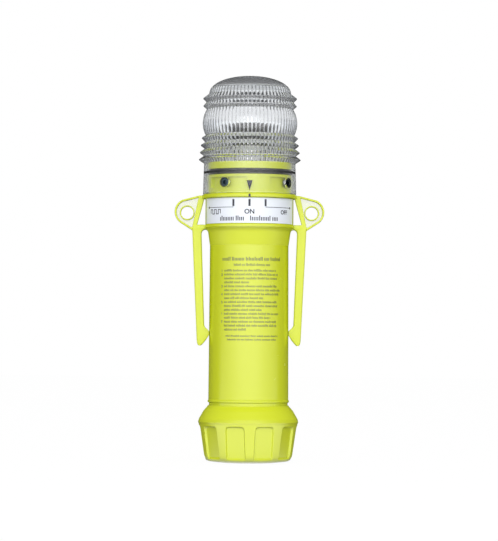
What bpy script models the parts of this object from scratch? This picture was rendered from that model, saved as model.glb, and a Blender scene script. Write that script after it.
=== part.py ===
"""Hand-held battery beacon: a tube for two D cells with a turning clear lens, two lanyard wings, two sprung
belt clips and a screw-on battery cap.

Metres, +Z up. The front of the beacon faces -Y and the origin is the centre of its base.
Azimuths are measured from the front, towards +X.
"""

import math

import bmesh
import bpy
from mathutils import Matrix

# Clearances
GAP = 0.0003
THREAD_CLEARANCE = 0.0004
LENS_CLEARANCE = 0.0004
CELL_CLEARANCE = 0.0009
SLOT_CLEARANCE = 0.0004

# Facets
ROUND_STEPS = 40
SMALL_STEPS = 14
ARC_STEPS = 10
CORD_STEPS = 6

# Two D cells, nose up
CELL_RADIUS = 0.0171
CELL_LENGTH = 0.0615
CELL_NOSE_RADIUS = 0.00475
CELL_NOSE_HEIGHT = 0.0018
CELL_EDGE = 0.0012
CELL_COUNT = 2

# Battery cap
CAP_HEIGHT = 0.0305
CAP_FLOOR = 0.0035
CAP_WALL = 0.0022
CAP_FLARE = 0.0031
CAP_FOOT_FILLET = 0.0030
CAP_RIDGE_Z = 0.0214
CAP_LIP = 0.0005
POCKET_COUNT = 10
POCKET_WIDTH = 0.0102
POCKET_DEPTH = 0.0012
POCKET_TOP_Z = 0.0193
POCKET_CORNER = 0.0016
POCKET_TURN = math.radians(20)

# Thread of the cap, right-handed
THREAD_PITCH = 0.004
THREAD_TURNS = 3
THREAD_HEIGHT = 0.0009
THREAD_WALL = 0.0020
THREAD_LEAD = 0.0027
THREAD_RUNOUT = 0.0018
THREAD_POINTS = 18

# Tail contacts
PLATE_THICKNESS = 0.0005
PLATE_EDGE = 0.0010
SPRING_LENGTH = 0.0074
SPRING_WIRE = 0.0010
SPRING_FOOT_RADIUS = 0.0080
SPRING_HEAD_RADIUS = 0.0050
SPRING_TURNS = 4
SPRING_POINTS = 10
STRIP_THICKNESS = 0.0003
STRIP_HALF_ANGLE = math.radians(9)
STRIP_AZIMUTH = math.radians(180)

# Tube
TUBE_WALL = 0.00285
TUBE_TAPER = 0.0004
BEAD_RISE = 0.0012
BEAD_HEIGHT = 0.0016
BEAD_STEP = 0.00035
CAP_RING_CORD = 0.0015
CAP_RING_DROP = 0.0033
CAP_RING_LAND = 0.00165

# Head, from the tube up to the neck
CELL_IN_HEAD = 0.0206
HEAD_CHAMFER = 0.0030
HEAD_HEIGHT = 0.0089
HEAD_STEP = 0.00065
LOWER_FLANGE_HEIGHT = 0.0021
LOWER_FLANGE_STEP = 0.0002
BAND_HEIGHT = 0.01405
BAND_STEP = 0.0014
UPPER_FLANGE_HEIGHT = 0.00195
UPPER_FLANGE_STEP = 0.0005
NECK_WALL = 0.0040
NECK_HEIGHT = 0.0173
NECK_RING_CORD = 0.0024
NECK_RING_RISE = 0.0118

# Dial label
LABEL_THICKNESS = 0.0003
LABEL_LIFT = 0.0001
LABEL_HALF_ANGLE = math.radians(73)
LABEL_MARGIN = 0.0004
LABEL_STEPS = 24

# Lanyard wings
WING_THICKNESS = 0.0044
WING_RIM = 0.0012
WING_WEB = 0.0012
WING_SHELF = 0.0010
WING_SHELF_DROP = 0.0003
EYE_RADIUS = 0.0033
EYE_BOSS = 0.00065
EYE_OFFSET = 0.0075
EYE_SHIFT = 0.0003
EYE_DROP = 0.0005
TAB_RADIUS = 0.0070
TAB_ARC_START = math.radians(67)
TAB_ARC_END = math.radians(-53)
WING_FOOT_DROP = 0.0008
WING_FOOT_HEIGHT = 0.0033
ARM_WIDTH = 0.0022
ARM_FOOT_OFFSET = 0.0031

# Belt clips
CLIP_WIDTH = 0.0070
CLIP_ROOT_THICKNESS = 0.0052
CLIP_FOOT_THICKNESS = 0.0040
CLIP_STANDOFF = 0.00425
CLIP_LENGTH = 0.0609
CLIP_LEAN = 0.0014
CLIP_ROOT_CORNER = 0.0010
CLIP_EDGE = 0.0005
HOOK_HEIGHT = 0.0105
HOOK_NOSE_Z = 0.0072
HOOK_NOSE_HEIGHT = 0.0014

# Lens
LENS_WALL = 0.0024
SKIRT_HEIGHT = 0.0162
SKIRT_DRAFT = 0.00045
LENS_STEP = 0.0022
RING_COUNT = 4
RING_PITCH = 0.00383
RING_RISE = 0.0023
RING_REACH = 0.0027
RING_SHRINK = 0.00048
RING_DEPTH = 0.0022
RING_BACK = 0.0015
BULGE_HEIGHT = 0.0138
BULGE_SWELL = 0.00175
BULGE_STEPS = 4
TOP_RING_COUNT = 2
TOP_RING_RISE = 0.0018
TOP_RING_REACH = 0.00145
DOME_RISE = 0.0031
DOME_RADIUS = 0.0217
DOME_HEIGHT = 0.0092
DOME_WALL = 0.0024
DOME_STEPS = 6

# Retaining screws of the lens
SCREW_COUNT = 4
SCREW_RADIUS = 0.0024
SCREW_RISE = 0.0057
SCREW_SINK = 0.0004
SCREW_REACH = 0.0008
SCREW_SLOT = 0.0008
SCREW_SLOT_DEPTH = 0.0010
SCREW_AZIMUTH = math.radians(-33)
LENS_TURN = math.radians(20.8)
SLOT_FLOOR = 0.0018
MAGNET_RADIUS = 0.0018
MAGNET_THICKNESS = 0.0008
MAGNET_SCREW = 2

# Light module in the neck
CARRIER_HEIGHT = 0.0035
CONTACT_RADIUS = 0.0045
CONTACT_HEAD = 0.0008
CONTACT_SHANK = 0.0015
BOARD_THICKNESS = 0.0016
BOARD_EDGE = 0.0005
SPACER_HEIGHT = 0.0100
SPACER_RADIUS = 0.0026
SPACER_CIRCLE = 0.0135
SPACER_COUNT = 3
MODULE_SCREW_RADIUS = 0.0011
MODULE_HEAD_RADIUS = 0.0022
MODULE_HEAD_HEIGHT = 0.0014
CHIP_SIZE = (0.0070, 0.0060, 0.0016)
CHIP_PLACE = (0.0, -0.0080)
INDUCTOR_SIZE = (0.0060, 0.0060, 0.0035)
INDUCTOR_PLACE = (0.0005, 0.0)
REED_SIZE = (0.0020, 0.0020, 0.0060)
REED_CIRCLE = 0.0150
CAPACITOR_RADIUS = 0.0025
CAPACITOR_HEIGHT = 0.0060
CAPACITOR_PLACE = (-0.0078, -0.0010)
HOLDER_RADIUS = 0.0085
HOLDER_OVER_LED = 0.0023
LED_COUNT = 6
LED_RISE = 0.0027
LED_BASE_RADIUS = 0.0019
LED_DOME_RADIUS = 0.0015
LED_BASE_HEIGHT = 0.0007
POST_CAP_RADIUS = 0.0110
POST_CAP_HEIGHT = 0.0016
POST_CAP_EDGE = 0.0005

# Radii that follow
tube_bore = CELL_RADIUS + CELL_CLEARANCE
thread_root = tube_bore + THREAD_WALL
cap_bore = thread_root + THREAD_HEIGHT + THREAD_CLEARANCE
tube_land = cap_bore - THREAD_CLEARANCE
tube_top_radius = tube_bore + TUBE_WALL
tube_foot_radius = tube_top_radius + TUBE_TAPER
bead_radius = max(tube_foot_radius, tube_land) + BEAD_STEP
cap_foot_radius = cap_bore + CAP_WALL
cap_ridge_radius = cap_foot_radius + CAP_FLARE
head_radius = tube_top_radius + HEAD_STEP
neck_radius = tube_bore + NECK_WALL
band_radius = neck_radius + BAND_STEP
lens_bore = neck_radius + LENS_CLEARANCE
skirt_radius = lens_bore + LENS_WALL
label_radius = band_radius + LABEL_LIFT
lower_flange_radius = label_radius + LABEL_THICKNESS + LOWER_FLANGE_STEP
upper_flange_radius = skirt_radius + UPPER_FLANGE_STEP
inner_radius = tube_bore - GAP

# Heights that follow, from the base up
plate_z = CAP_FLOOR + GAP
spring_z = plate_z + PLATE_THICKNESS + GAP
cell_z = [spring_z + SPRING_LENGTH + GAP + n * (CELL_LENGTH + GAP) for n in range(CELL_COUNT)]
cells_top = cell_z[-1] + CELL_LENGTH
cap_ring_z = CAP_HEIGHT - CAP_RING_DROP
thread_end_z = cap_ring_z - CAP_RING_CORD / 2 - GAP - CAP_RING_LAND
thread_z = thread_end_z - THREAD_RUNOUT - THREAD_TURNS * THREAD_PITCH
tube_foot_z = thread_z - THREAD_LEAD
bead_z = CAP_HEIGHT + BEAD_RISE
head_z = cells_top - CELL_IN_HEAD
lower_flange_z = head_z + HEAD_HEIGHT
band_z = lower_flange_z + LOWER_FLANGE_HEIGHT
upper_flange_z = band_z + BAND_HEIGHT
neck_z = upper_flange_z + UPPER_FLANGE_HEIGHT
neck_top = neck_z + NECK_HEIGHT
lens_z = neck_z + GAP
skirt_top = lens_z + SKIRT_HEIGHT
screw_z = lens_z + SCREW_RISE
neck_ring_z = neck_z + NECK_RING_RISE
first_ring_z = skirt_top + RING_RISE
bulge_z = first_ring_z + (RING_COUNT - 1) * RING_PITCH + RING_BACK
top_ring_z = bulge_z + BULGE_HEIGHT + TOP_RING_RISE
dome_z = top_ring_z + (TOP_RING_COUNT - 1) * RING_PITCH + DOME_RISE
carrier_z = cells_top + GAP + CONTACT_HEAD + GAP
driver_board_z = carrier_z + CARRIER_HEIGHT + GAP
spacer_z = driver_board_z + BOARD_THICKNESS + GAP
led_board_z = spacer_z + SPACER_HEIGHT + GAP
holder_z = led_board_z + BOARD_THICKNESS + GAP
led_z = bulge_z + LED_RISE
holder_top = led_z + HOLDER_OVER_LED

for old in list(bpy.data.objects):
    bpy.data.objects.remove(old)

parts = bpy.data.collections.new("battery_beacon")
cutters = bpy.data.collections.new("cutters")
bpy.context.scene.collection.children.link(parts)
bpy.context.scene.collection.children.link(cutters)


def finish(name, colour, roughness, metallic=0.0, alpha=1.0):
    """A plain material for one kind of piece."""
    material = bpy.data.materials.new(name)
    material.use_nodes = True
    shader = material.node_tree.nodes["Principled BSDF"]
    shader.inputs["Base Color"].default_value = (*colour, 1.0)
    shader.inputs["Roughness"].default_value = roughness
    shader.inputs["Metallic"].default_value = metallic
    shader.inputs["Alpha"].default_value = alpha
    return material


yellow_plastic = finish("yellow_plastic", (0.62, 0.70, 0.04), 0.42)
yellow_cap = finish("yellow_cap", (0.60, 0.68, 0.035), 0.45)
yellow_wing = finish("yellow_wing", (0.66, 0.74, 0.10), 0.42)
yellow_clip = finish("yellow_clip", (0.62, 0.70, 0.05), 0.42)
clear_plastic = finish("clear_plastic", (0.86, 0.87, 0.88), 0.08, alpha=0.35)
label_film = finish("label_film", (0.72, 0.75, 0.80), 0.35)
black_rubber = finish("black_rubber", (0.015, 0.015, 0.015), 0.6)
dark_steel = finish("dark_steel", (0.18, 0.18, 0.18), 0.35, metallic=1.0)
bright_steel = finish("bright_steel", (0.62, 0.62, 0.60), 0.3, metallic=1.0)
brass = finish("brass", (0.70, 0.52, 0.20), 0.3, metallic=1.0)
cell_wrap = finish("cell_wrap", (0.10, 0.12, 0.16), 0.35)
black_plastic = finish("black_plastic", (0.03, 0.03, 0.03), 0.5)
green_board = finish("green_board", (0.03, 0.16, 0.07), 0.45)
white_board = finish("white_board", (0.70, 0.71, 0.70), 0.45)
pale_plastic = finish("pale_plastic", (0.55, 0.56, 0.56), 0.5)
led_resin = finish("led_resin", (0.85, 0.83, 0.70), 0.15)


def placed(name, mesh, material, collection=parts, matrix=None):
    """Puts a mesh in the scene as one named piece, or as a hidden cutter."""
    piece = bpy.data.objects.new(name, mesh)
    collection.objects.link(piece)
    if material is not None:
        mesh.materials.append(material)
    if matrix is not None:
        piece.matrix_world = matrix
    if collection == cutters:
        piece.hide_render = True
        piece.display_type = "WIRE"
    return piece


def turned(name, profile, material, collection=parts, steps=ROUND_STEPS, matrix=None):
    """A body turned about its own Z from (radius, height) points, which run down the outer side first."""
    count = len(profile)
    edges = [(n, n + 1) for n in range(count - 1)]
    if profile[0][0] > 0 or profile[-1][0] > 0:
        edges.append((count - 1, 0))
    mesh = bpy.data.meshes.new(name)
    mesh.from_pydata([(radius, 0.0, height) for radius, height in profile], edges, [])
    piece = placed(name, mesh, material, collection, matrix)
    screw = piece.modifiers.new("Turn", "SCREW")
    screw.steps = steps
    screw.render_steps = steps
    screw.use_merge_vertices = True
    screw.merge_threshold = 0.000001
    return piece


def from_curve(curve, name, material, collection=parts, matrix=None):
    """The closed mesh of a bevelled or filled curve."""
    guide = bpy.data.objects.new(name + "_guide", curve)
    cutters.objects.link(guide)
    mesh = bpy.data.meshes.new_from_object(guide.evaluated_get(bpy.context.evaluated_depsgraph_get()))
    bpy.data.objects.remove(guide)
    shape = bmesh.new()
    shape.from_mesh(mesh)
    bmesh.ops.remove_doubles(shape, verts=shape.verts, dist=0.000001)
    bmesh.ops.recalc_face_normals(shape, faces=shape.faces)
    shape.to_mesh(mesh)
    shape.free()
    mesh.name = name
    return placed(name, mesh, material, collection, matrix)


def flat(name, outlines, thickness, material, collection=parts, matrix=None):
    """A plate with the given outlines, holes among them, half its thickness each side of its own XY plane."""
    curve = bpy.data.curves.new(name, "CURVE")
    curve.dimensions = "2D"
    curve.fill_mode = "BOTH"
    curve.extrude = thickness / 2
    for outline in outlines:
        spline = curve.splines.new("POLY")
        spline.points.add(len(outline) - 1)
        spline.use_cyclic_u = True
        for point, (x, y) in zip(spline.points, outline):
            point.co = (x, y, 0.0, 1.0)
    return from_curve(curve, name, material, collection, matrix)


def wire(name, points, wire_radius, material, collection=parts):
    """A round wire through the given points."""
    curve = bpy.data.curves.new(name, "CURVE")
    curve.dimensions = "3D"
    curve.bevel_depth = wire_radius
    curve.bevel_resolution = 1
    curve.use_fill_caps = True
    spline = curve.splines.new("POLY")
    spline.points.add(len(points) - 1)
    for point, place in zip(spline.points, points):
        point.co = (*place, 1.0)
    return from_curve(curve, name, material, collection)


def box(name, size, centre, material, collection=parts, turn=0.0):
    """A rectangular block, turned about Z."""
    shape = bmesh.new()
    bmesh.ops.create_cube(shape, size=1.0, matrix=Matrix.Diagonal((*size, 1.0)))
    mesh = bpy.data.meshes.new(name)
    shape.to_mesh(mesh)
    shape.free()
    matrix = Matrix.Translation(centre) @ Matrix.Rotation(turn, 4, "Z")
    return placed(name, mesh, material, collection, matrix)


def joined(piece, tool, operation):
    """Adds a Boolean of a cutter to a piece."""
    boolean = piece.modifiers.new(tool.name, "BOOLEAN")
    boolean.operation = operation
    boolean.object = tool


def arc(radius, start, end, steps, centre=(0.0, 0.0)):
    """Points on an arc, from one angle to another, about a centre."""
    angles = [start + (end - start) * n / steps for n in range(steps + 1)]
    return [(centre[0] + radius * math.cos(a), centre[1] + radius * math.sin(a)) for a in angles]


def circle(radius, steps, centre=(0.0, 0.0)):
    """Points round a circle."""
    return arc(radius, 0.0, 2 * math.pi, steps, centre)[:-1]


def curve_between(start, bend, end, steps):
    """Points on a smooth bend from start to end that leans towards the bend point."""
    points = []
    for n in range(steps + 1):
        t = n / steps
        weights = ((1 - t) ** 2, 2 * t * (1 - t), t ** 2)
        points.append(tuple(sum(w * p[k] for w, p in zip(weights, (start, bend, end))) for k in range(2)))
    return points


def sector(name, inner, outer, azimuth, half_angle, low, high, steps, material, collection=parts):
    """A curved bar: part of a ring about Z, centred on an azimuth."""
    middle = azimuth - math.pi / 2
    outline = arc(outer, middle - half_angle, middle + half_angle, steps)
    outline += arc(inner, middle + half_angle, middle - half_angle, steps)
    lift = Matrix.Translation((0.0, 0.0, (low + high) / 2))
    return flat(name, [outline], high - low, material, collection, lift)


def outward(azimuth, height):
    """The frame of a piece whose own Z points away from the beacon's axis."""
    return Matrix.Rotation(azimuth, 4, "Z") @ Matrix.Translation((0, 0, height)) @ Matrix.Rotation(math.pi / 2, 4, "X")


def helix(radius, start_z, turns, phase, end_radius=None, pitch=THREAD_PITCH, count=THREAD_POINTS):
    """Points on a right-handed helix."""
    last = radius if end_radius is None else end_radius
    points = []
    for n in range(int(turns * count) + 1):
        angle = 2 * math.pi * n / count
        reach = radius + (last - radius) * n / (turns * count)
        height = start_z + pitch * n / count
        points.append((reach * math.cos(angle + phase), reach * math.sin(angle + phase), height))
    return points


def ring_seal(name, radius, cord, height, material):
    """An O-ring."""
    profile = circle(cord / 2, CORD_STEPS, (radius, height))
    return turned(name, profile[::-1], material)


def tube_radius(height):
    """The tube's outer radius, which narrows from the bead to the head."""
    low = bead_z + BEAD_HEIGHT
    return tube_foot_radius - TUBE_TAPER * (height - low) / (head_z - low)


def body_shell():
    """Tube, head, flanges and neck in one moulding, with the cap's thread, two seal grooves and four slots."""
    cap_groove = cap_bore - GAP - CAP_RING_CORD - GAP
    cap_groove_half = CAP_RING_CORD / 2 + GAP
    neck_groove = lens_bore - GAP - NECK_RING_CORD - GAP
    neck_groove_half = NECK_RING_CORD / 2 + GAP
    outer = [
        (neck_radius, neck_top),
        (neck_radius, neck_ring_z + neck_groove_half),
        (neck_groove, neck_ring_z + neck_groove_half),
        (neck_groove, neck_ring_z - neck_groove_half),
        (neck_radius, neck_ring_z - neck_groove_half),
        (neck_radius, neck_z),
        (upper_flange_radius, neck_z),
        (upper_flange_radius, upper_flange_z),
        (band_radius, upper_flange_z),
        (band_radius, band_z),
        (lower_flange_radius, band_z),
        (lower_flange_radius, lower_flange_z + LOWER_FLANGE_HEIGHT / 3),
        (head_radius, lower_flange_z),
        (head_radius, head_z + HEAD_CHAMFER),
        (tube_top_radius, head_z),
        (tube_radius(bead_z + BEAD_HEIGHT), bead_z + BEAD_HEIGHT),
        (bead_radius, bead_z + BEAD_HEIGHT * 0.7),
        (bead_radius, bead_z + BEAD_HEIGHT * 0.3),
        (tube_land, bead_z),
        (tube_land, cap_ring_z + cap_groove_half),
        (cap_groove, cap_ring_z + cap_groove_half),
        (cap_groove, cap_ring_z - cap_groove_half),
        (tube_land, cap_ring_z - cap_groove_half),
        (tube_land, thread_end_z),
        (thread_root, thread_end_z - (tube_land - thread_root)),
        (thread_root, tube_foot_z),
    ]
    inner = [(tube_bore, tube_foot_z), (tube_bore, neck_top)]
    shell = turned("body_shell", outer + inner, yellow_plastic)
    ridge = helix(thread_root, thread_z, THREAD_TURNS, 0.0)
    joined(shell, wire("tube_thread", ridge, THREAD_HEIGHT, None, cutters), "UNION")
    slot_floor = neck_radius - SLOT_FLOOR - GAP
    slot_half = SCREW_RADIUS + SLOT_CLEARANCE
    slot_angle = LENS_TURN + math.asin(slot_half / slot_floor)
    for n in range(SCREW_COUNT):
        azimuth = SCREW_AZIMUTH + 2 * math.pi * n / SCREW_COUNT
        slot = sector(f"neck_slot_{n + 1}", slot_floor, neck_radius + LENS_WALL, azimuth, slot_angle,
                      screw_z - slot_half, screw_z + slot_half, ARC_STEPS, None, cutters)
        joined(shell, slot, "DIFFERENCE")


def battery_cap():
    """Screw-on cap: tapered grip with pockets, rounded shoulder, and the thread inside."""
    fillet = arc(CAP_FOOT_FILLET, 0.0, -math.pi / 2, 3, (cap_foot_radius - CAP_FOOT_FILLET, CAP_FOOT_FILLET))
    ridge = (cap_ridge_radius, CAP_RIDGE_Z)
    lip = (cap_bore + CAP_LIP, CAP_HEIGHT)
    bend = (cap_ridge_radius - 0.1 * CAP_FLARE, CAP_RIDGE_Z + 0.42 * (CAP_HEIGHT - CAP_RIDGE_Z))
    shoulder = curve_between(lip, bend, ridge, 5)
    grip_top = (cap_ridge_radius - 0.15 * CAP_FLARE, CAP_RIDGE_Z - 0.3 * CAP_FLARE)
    floor = [(0.0, 0.0), (0.0, CAP_FLOOR), (cap_bore, CAP_FLOOR), (cap_bore, CAP_HEIGHT)]
    cap = turned("battery_cap", shoulder + [grip_top] + fillet + floor, yellow_cap)
    rise = grip_top[1] - CAP_FOOT_FILLET
    lean = math.atan2(grip_top[0] - cap_foot_radius, rise)
    reach = POCKET_TOP_Z / math.cos(lean)
    half = POCKET_WIDTH / 2
    outline = [(-half, -CAP_FOOT_FILLET), (half, -CAP_FOOT_FILLET)]
    outline += arc(POCKET_CORNER, 0.0, math.pi / 2, 3, (half - POCKET_CORNER, reach - POCKET_CORNER))
    outline += arc(POCKET_CORNER, math.pi / 2, math.pi, 3, (POCKET_CORNER - half, reach - POCKET_CORNER))
    foot = cap_foot_radius - CAP_FOOT_FILLET * math.tan(lean) - POCKET_DEPTH / math.cos(lean)
    thickness = 2 * CAP_WALL + CAP_FLARE
    for n in range(POCKET_COUNT):
        spin = Matrix.Rotation(POCKET_TURN + 2 * math.pi * n / POCKET_COUNT, 4, "Z")
        tilt = Matrix.Translation((0.0, -foot, 0.0)) @ Matrix.Rotation(math.pi / 2 + lean, 4, "X")
        place = spin @ tilt @ Matrix.Translation((0.0, 0.0, thickness / 2))
        joined(cap, flat(f"pocket_{n + 1}", [outline], thickness, None, cutters, place), "DIFFERENCE")
    ridge_line = helix(cap_bore, thread_z + THREAD_PITCH / 2, THREAD_TURNS - 0.5, 0.0)
    joined(cap, wire("cap_thread", ridge_line, THREAD_HEIGHT, None, cutters), "UNION")


def seals():
    """The cap's O-ring under the bead and the lens's O-ring on the neck."""
    ring_seal("cap_o_ring", cap_bore - GAP - CAP_RING_CORD / 2, CAP_RING_CORD, cap_ring_z, black_rubber)
    ring_seal("neck_o_ring", lens_bore - GAP - NECK_RING_CORD / 2, NECK_RING_CORD, neck_ring_z, black_rubber)


def tail_contacts():
    """Contact plate and tail spring in the cap, and the strip that carries the return up the tube."""
    plate_radius = tube_bore + PLATE_EDGE
    top = plate_z + PLATE_THICKNESS
    turned("contact_plate", [(0.0, top), (plate_radius, top), (plate_radius, plate_z), (0.0, plate_z)], brass)
    pitch = (SPRING_LENGTH - SPRING_WIRE) / SPRING_TURNS
    points = helix(SPRING_FOOT_RADIUS, spring_z + SPRING_WIRE / 2, SPRING_TURNS, 0.0,
                   SPRING_HEAD_RADIUS, pitch, SPRING_POINTS)
    wire("tail_spring", points, SPRING_WIRE / 2, bright_steel)
    nearest = min(math.dist(points[n], points[n + SPRING_POINTS]) for n in range(len(points) - SPRING_POINTS))
    print(f"tail_spring least gap between turns {1000 * (nearest - SPRING_WIRE):.2f} mm")
    outer = (tube_bore - GAP) * math.cos(math.pi / ROUND_STEPS)
    sector("return_strip", outer - STRIP_THICKNESS, outer, STRIP_AZIMUTH, STRIP_HALF_ANGLE,
           top + GAP, carrier_z - GAP, 3, brass)


def battery_cells():
    """Two D cells in line, nose up."""
    shoulder = CELL_LENGTH - CELL_NOSE_HEIGHT
    profile = [
        (0.0, CELL_LENGTH),
        (CELL_NOSE_RADIUS, CELL_LENGTH),
        (CELL_NOSE_RADIUS, shoulder),
        (CELL_RADIUS - CELL_EDGE, shoulder),
        (CELL_RADIUS, shoulder - CELL_EDGE),
        (CELL_RADIUS, CELL_EDGE / 2),
        (CELL_RADIUS - CELL_EDGE / 2, 0.0),
        (0.0, 0.0),
    ]
    for place, height in zip(("lower", "upper"), cell_z):
        turned(f"battery_cell_{place}", profile, cell_wrap, matrix=Matrix.Translation((0, 0, height)))


def dial_label():
    """Printed film wrapped round the front of the label band."""
    sector("dial_label", label_radius / math.cos(LABEL_HALF_ANGLE / LABEL_STEPS),
           (label_radius + LABEL_THICKNESS) / math.cos(LABEL_HALF_ANGLE / LABEL_STEPS), 0.0, LABEL_HALF_ANGLE,
           band_z + LABEL_MARGIN, upper_flange_z - LABEL_MARGIN, LABEL_STEPS, label_film)


upright = Matrix.Rotation(math.pi / 2, 4, "X")
eye = (upper_flange_radius + EYE_OFFSET, (band_z + upper_flange_z) / 2)
eye_middle = (eye[0] + EYE_SHIFT, eye[1] - EYE_DROP)
wing_foot_z = lower_flange_z - WING_FOOT_DROP
arm_top_x = band_radius + LABEL_THICKNESS + 3 * GAP
arm_foot_x = lower_flange_radius + GAP + ARM_FOOT_OFFSET
arm_foot_z = wing_foot_z + WING_FOOT_HEIGHT
clip_inner = tube_top_radius + CLIP_STANDOFF
clip_outer = clip_inner + CLIP_ROOT_THICKNESS
clip_root_z = wing_foot_z - GAP


def mirrored(points, side):
    """The same outline on the left or the right of the beacon."""
    return [(side * x, z) for x, z in points]


def lanyard_wing(name, side):
    """Flat wing beside the label: a sloped arm, a tab with a thin web, and the lanyard eye in its boss."""
    shelf_z = neck_z - WING_SHELF_DROP
    shelf_x = upper_flange_radius + GAP
    under_flange = upper_flange_z - GAP
    outline = [(shelf_x, shelf_z), (shelf_x + WING_SHELF, shelf_z)]
    outline += arc(TAB_RADIUS, TAB_ARC_START, TAB_ARC_END, ARC_STEPS, eye)
    outline += [(clip_outer + GAP, wing_foot_z), (lower_flange_radius + GAP, wing_foot_z)]
    outline += [(lower_flange_radius + GAP, arm_foot_z), (arm_foot_x, arm_foot_z)]
    outline += [(arm_top_x, under_flange), (shelf_x, under_flange)]
    hole = circle(EYE_RADIUS, SMALL_STEPS, eye_middle)
    wing = flat(name, [mirrored(outline, side), mirrored(hole, side)], WING_THICKNESS, yellow_wing, matrix=upright)
    web = [(arm_top_x + ARM_WIDTH + WING_RIM / 2, shelf_z - WING_RIM * 1.3)]
    web += arc(TAB_RADIUS - WING_RIM, TAB_ARC_START, TAB_ARC_END, ARC_STEPS, eye)
    web += [(clip_outer + WING_RIM, wing_foot_z + 1.6 * WING_RIM), (arm_foot_x + ARM_WIDTH, arm_foot_z)]
    boss = circle(EYE_RADIUS + EYE_BOSS, SMALL_STEPS, eye_middle)
    depth = WING_THICKNESS / 2
    for face, way in (("front", -1), ("back", 1)):
        lift = Matrix.Translation((0.0, way * (WING_WEB / 2 + depth / 2), 0.0))
        pocket = flat(f"{name}_{face}", [mirrored(web, side), mirrored(boss, side)], depth, None, cutters,
                      lift @ upright)
        joined(wing, pocket, "DIFFERENCE")


def belt_clip(name, side):
    """Sprung arm that hangs from the wing's foot, with a hook that closes on the tube."""
    foot_z = clip_root_z - CLIP_LENGTH
    nose_z = foot_z + HOOK_NOSE_Z
    nose_x = tube_radius(nose_z) + GAP
    hook_z = foot_z + HOOK_HEIGHT
    heel_x = clip_outer - CLIP_LEAN - (CLIP_ROOT_THICKNESS - CLIP_FOOT_THICKNESS)
    neck_x = heel_x - CLIP_FOOT_THICKNESS
    corner = CLIP_ROOT_CORNER
    outline = arc(corner, math.pi / 2, 0.0, 2, (clip_outer - corner, clip_root_z - corner))
    outline += arc(corner, 0.0, -math.pi / 2, 3, (heel_x - corner, foot_z + corner))
    outline += [(neck_x + corner, foot_z), (nose_x, nose_z - HOOK_NOSE_HEIGHT), (nose_x, nose_z)]
    outline += [(neck_x, hook_z)]
    outline += arc(corner, math.pi, math.pi / 2, 2, (clip_inner + corner, clip_root_z - corner))
    pivot = bpy.data.objects.new(name + "_pivot", None)
    cutters.objects.link(pivot)
    pivot.location = (side * (clip_inner + clip_outer) / 2, 0.0, clip_root_z)
    bpy.context.view_layer.update()
    clip = flat(name, [mirrored(outline, side)], CLIP_WIDTH, yellow_clip, matrix=upright)
    clip.parent = pivot
    clip.matrix_parent_inverse = pivot.matrix_world.inverted()
    bevel = clip.modifiers.new("Edges", "BEVEL")
    bevel.width = CLIP_EDGE
    bevel.segments = 1
    bevel.limit_method = "ANGLE"
    bevel.angle_limit = math.radians(60)


def lens():
    """Clear lens: skirt over the neck, four widening rings, a bulged barrel, two top rings and a dome."""
    skirt_top_radius = skirt_radius - SKIRT_DRAFT
    first_reach = skirt_top_radius + RING_REACH
    outer = [(DOME_RADIUS * math.cos(a), dome_z + DOME_HEIGHT * math.sin(a))
             for a in (math.pi / 2 * (1 - n / DOME_STEPS) for n in range(DOME_STEPS + 1))]
    outer[0] = (0.0, dome_z + DOME_HEIGHT)
    last_tip = first_reach - (RING_COUNT - 1) * RING_SHRINK
    barrel = last_tip - RING_DEPTH
    for n in reversed(range(TOP_RING_COUNT)):
        tip_z = top_ring_z + n * RING_PITCH
        outer.append((barrel + TOP_RING_REACH, tip_z))
        outer.append((barrel, tip_z - TOP_RING_RISE))
    for n in range(1, BULGE_STEPS):
        share = n / BULGE_STEPS
        outer.append((barrel + BULGE_SWELL * math.sin(math.pi * share), bulge_z + BULGE_HEIGHT * (1 - share)))
    for n in reversed(range(RING_COUNT)):
        tip = first_reach - n * RING_SHRINK
        tip_z = first_ring_z + n * RING_PITCH
        outer.append((tip - RING_DEPTH, tip_z + RING_BACK))
        outer.append((tip, tip_z))
    outer += [(skirt_top_radius, skirt_top), (skirt_radius, lens_z)]
    step_z = neck_top + GAP
    barrel_bore = lens_bore - LENS_STEP
    dome_bore = DOME_RADIUS - DOME_WALL
    inner = [(lens_bore, lens_z), (lens_bore, step_z), (barrel_bore, step_z + LENS_STEP)]
    inner.append((barrel_bore, top_ring_z))
    for n in range(DOME_STEPS):
        angle = math.pi / 2 * n / DOME_STEPS
        inner.append((dome_bore * math.cos(angle), dome_z + (DOME_HEIGHT - DOME_WALL) * math.sin(angle)))
    inner.append((0.0, dome_z + DOME_HEIGHT - DOME_WALL))
    body = turned("lens", outer + inner, clear_plastic)
    hole = SCREW_RADIUS + GAP
    for n in range(SCREW_COUNT):
        azimuth = SCREW_AZIMUTH + 2 * math.pi * n / SCREW_COUNT
        far = skirt_radius + LENS_WALL
        near = lens_bore - LENS_WALL
        bore = turned(f"screw_hole_{n + 1}", [(0.0, far), (hole, far), (hole, near), (0.0, near)], None, cutters,
                      SMALL_STEPS, outward(azimuth, screw_z))
        joined(body, bore, "DIFFERENCE")


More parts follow.
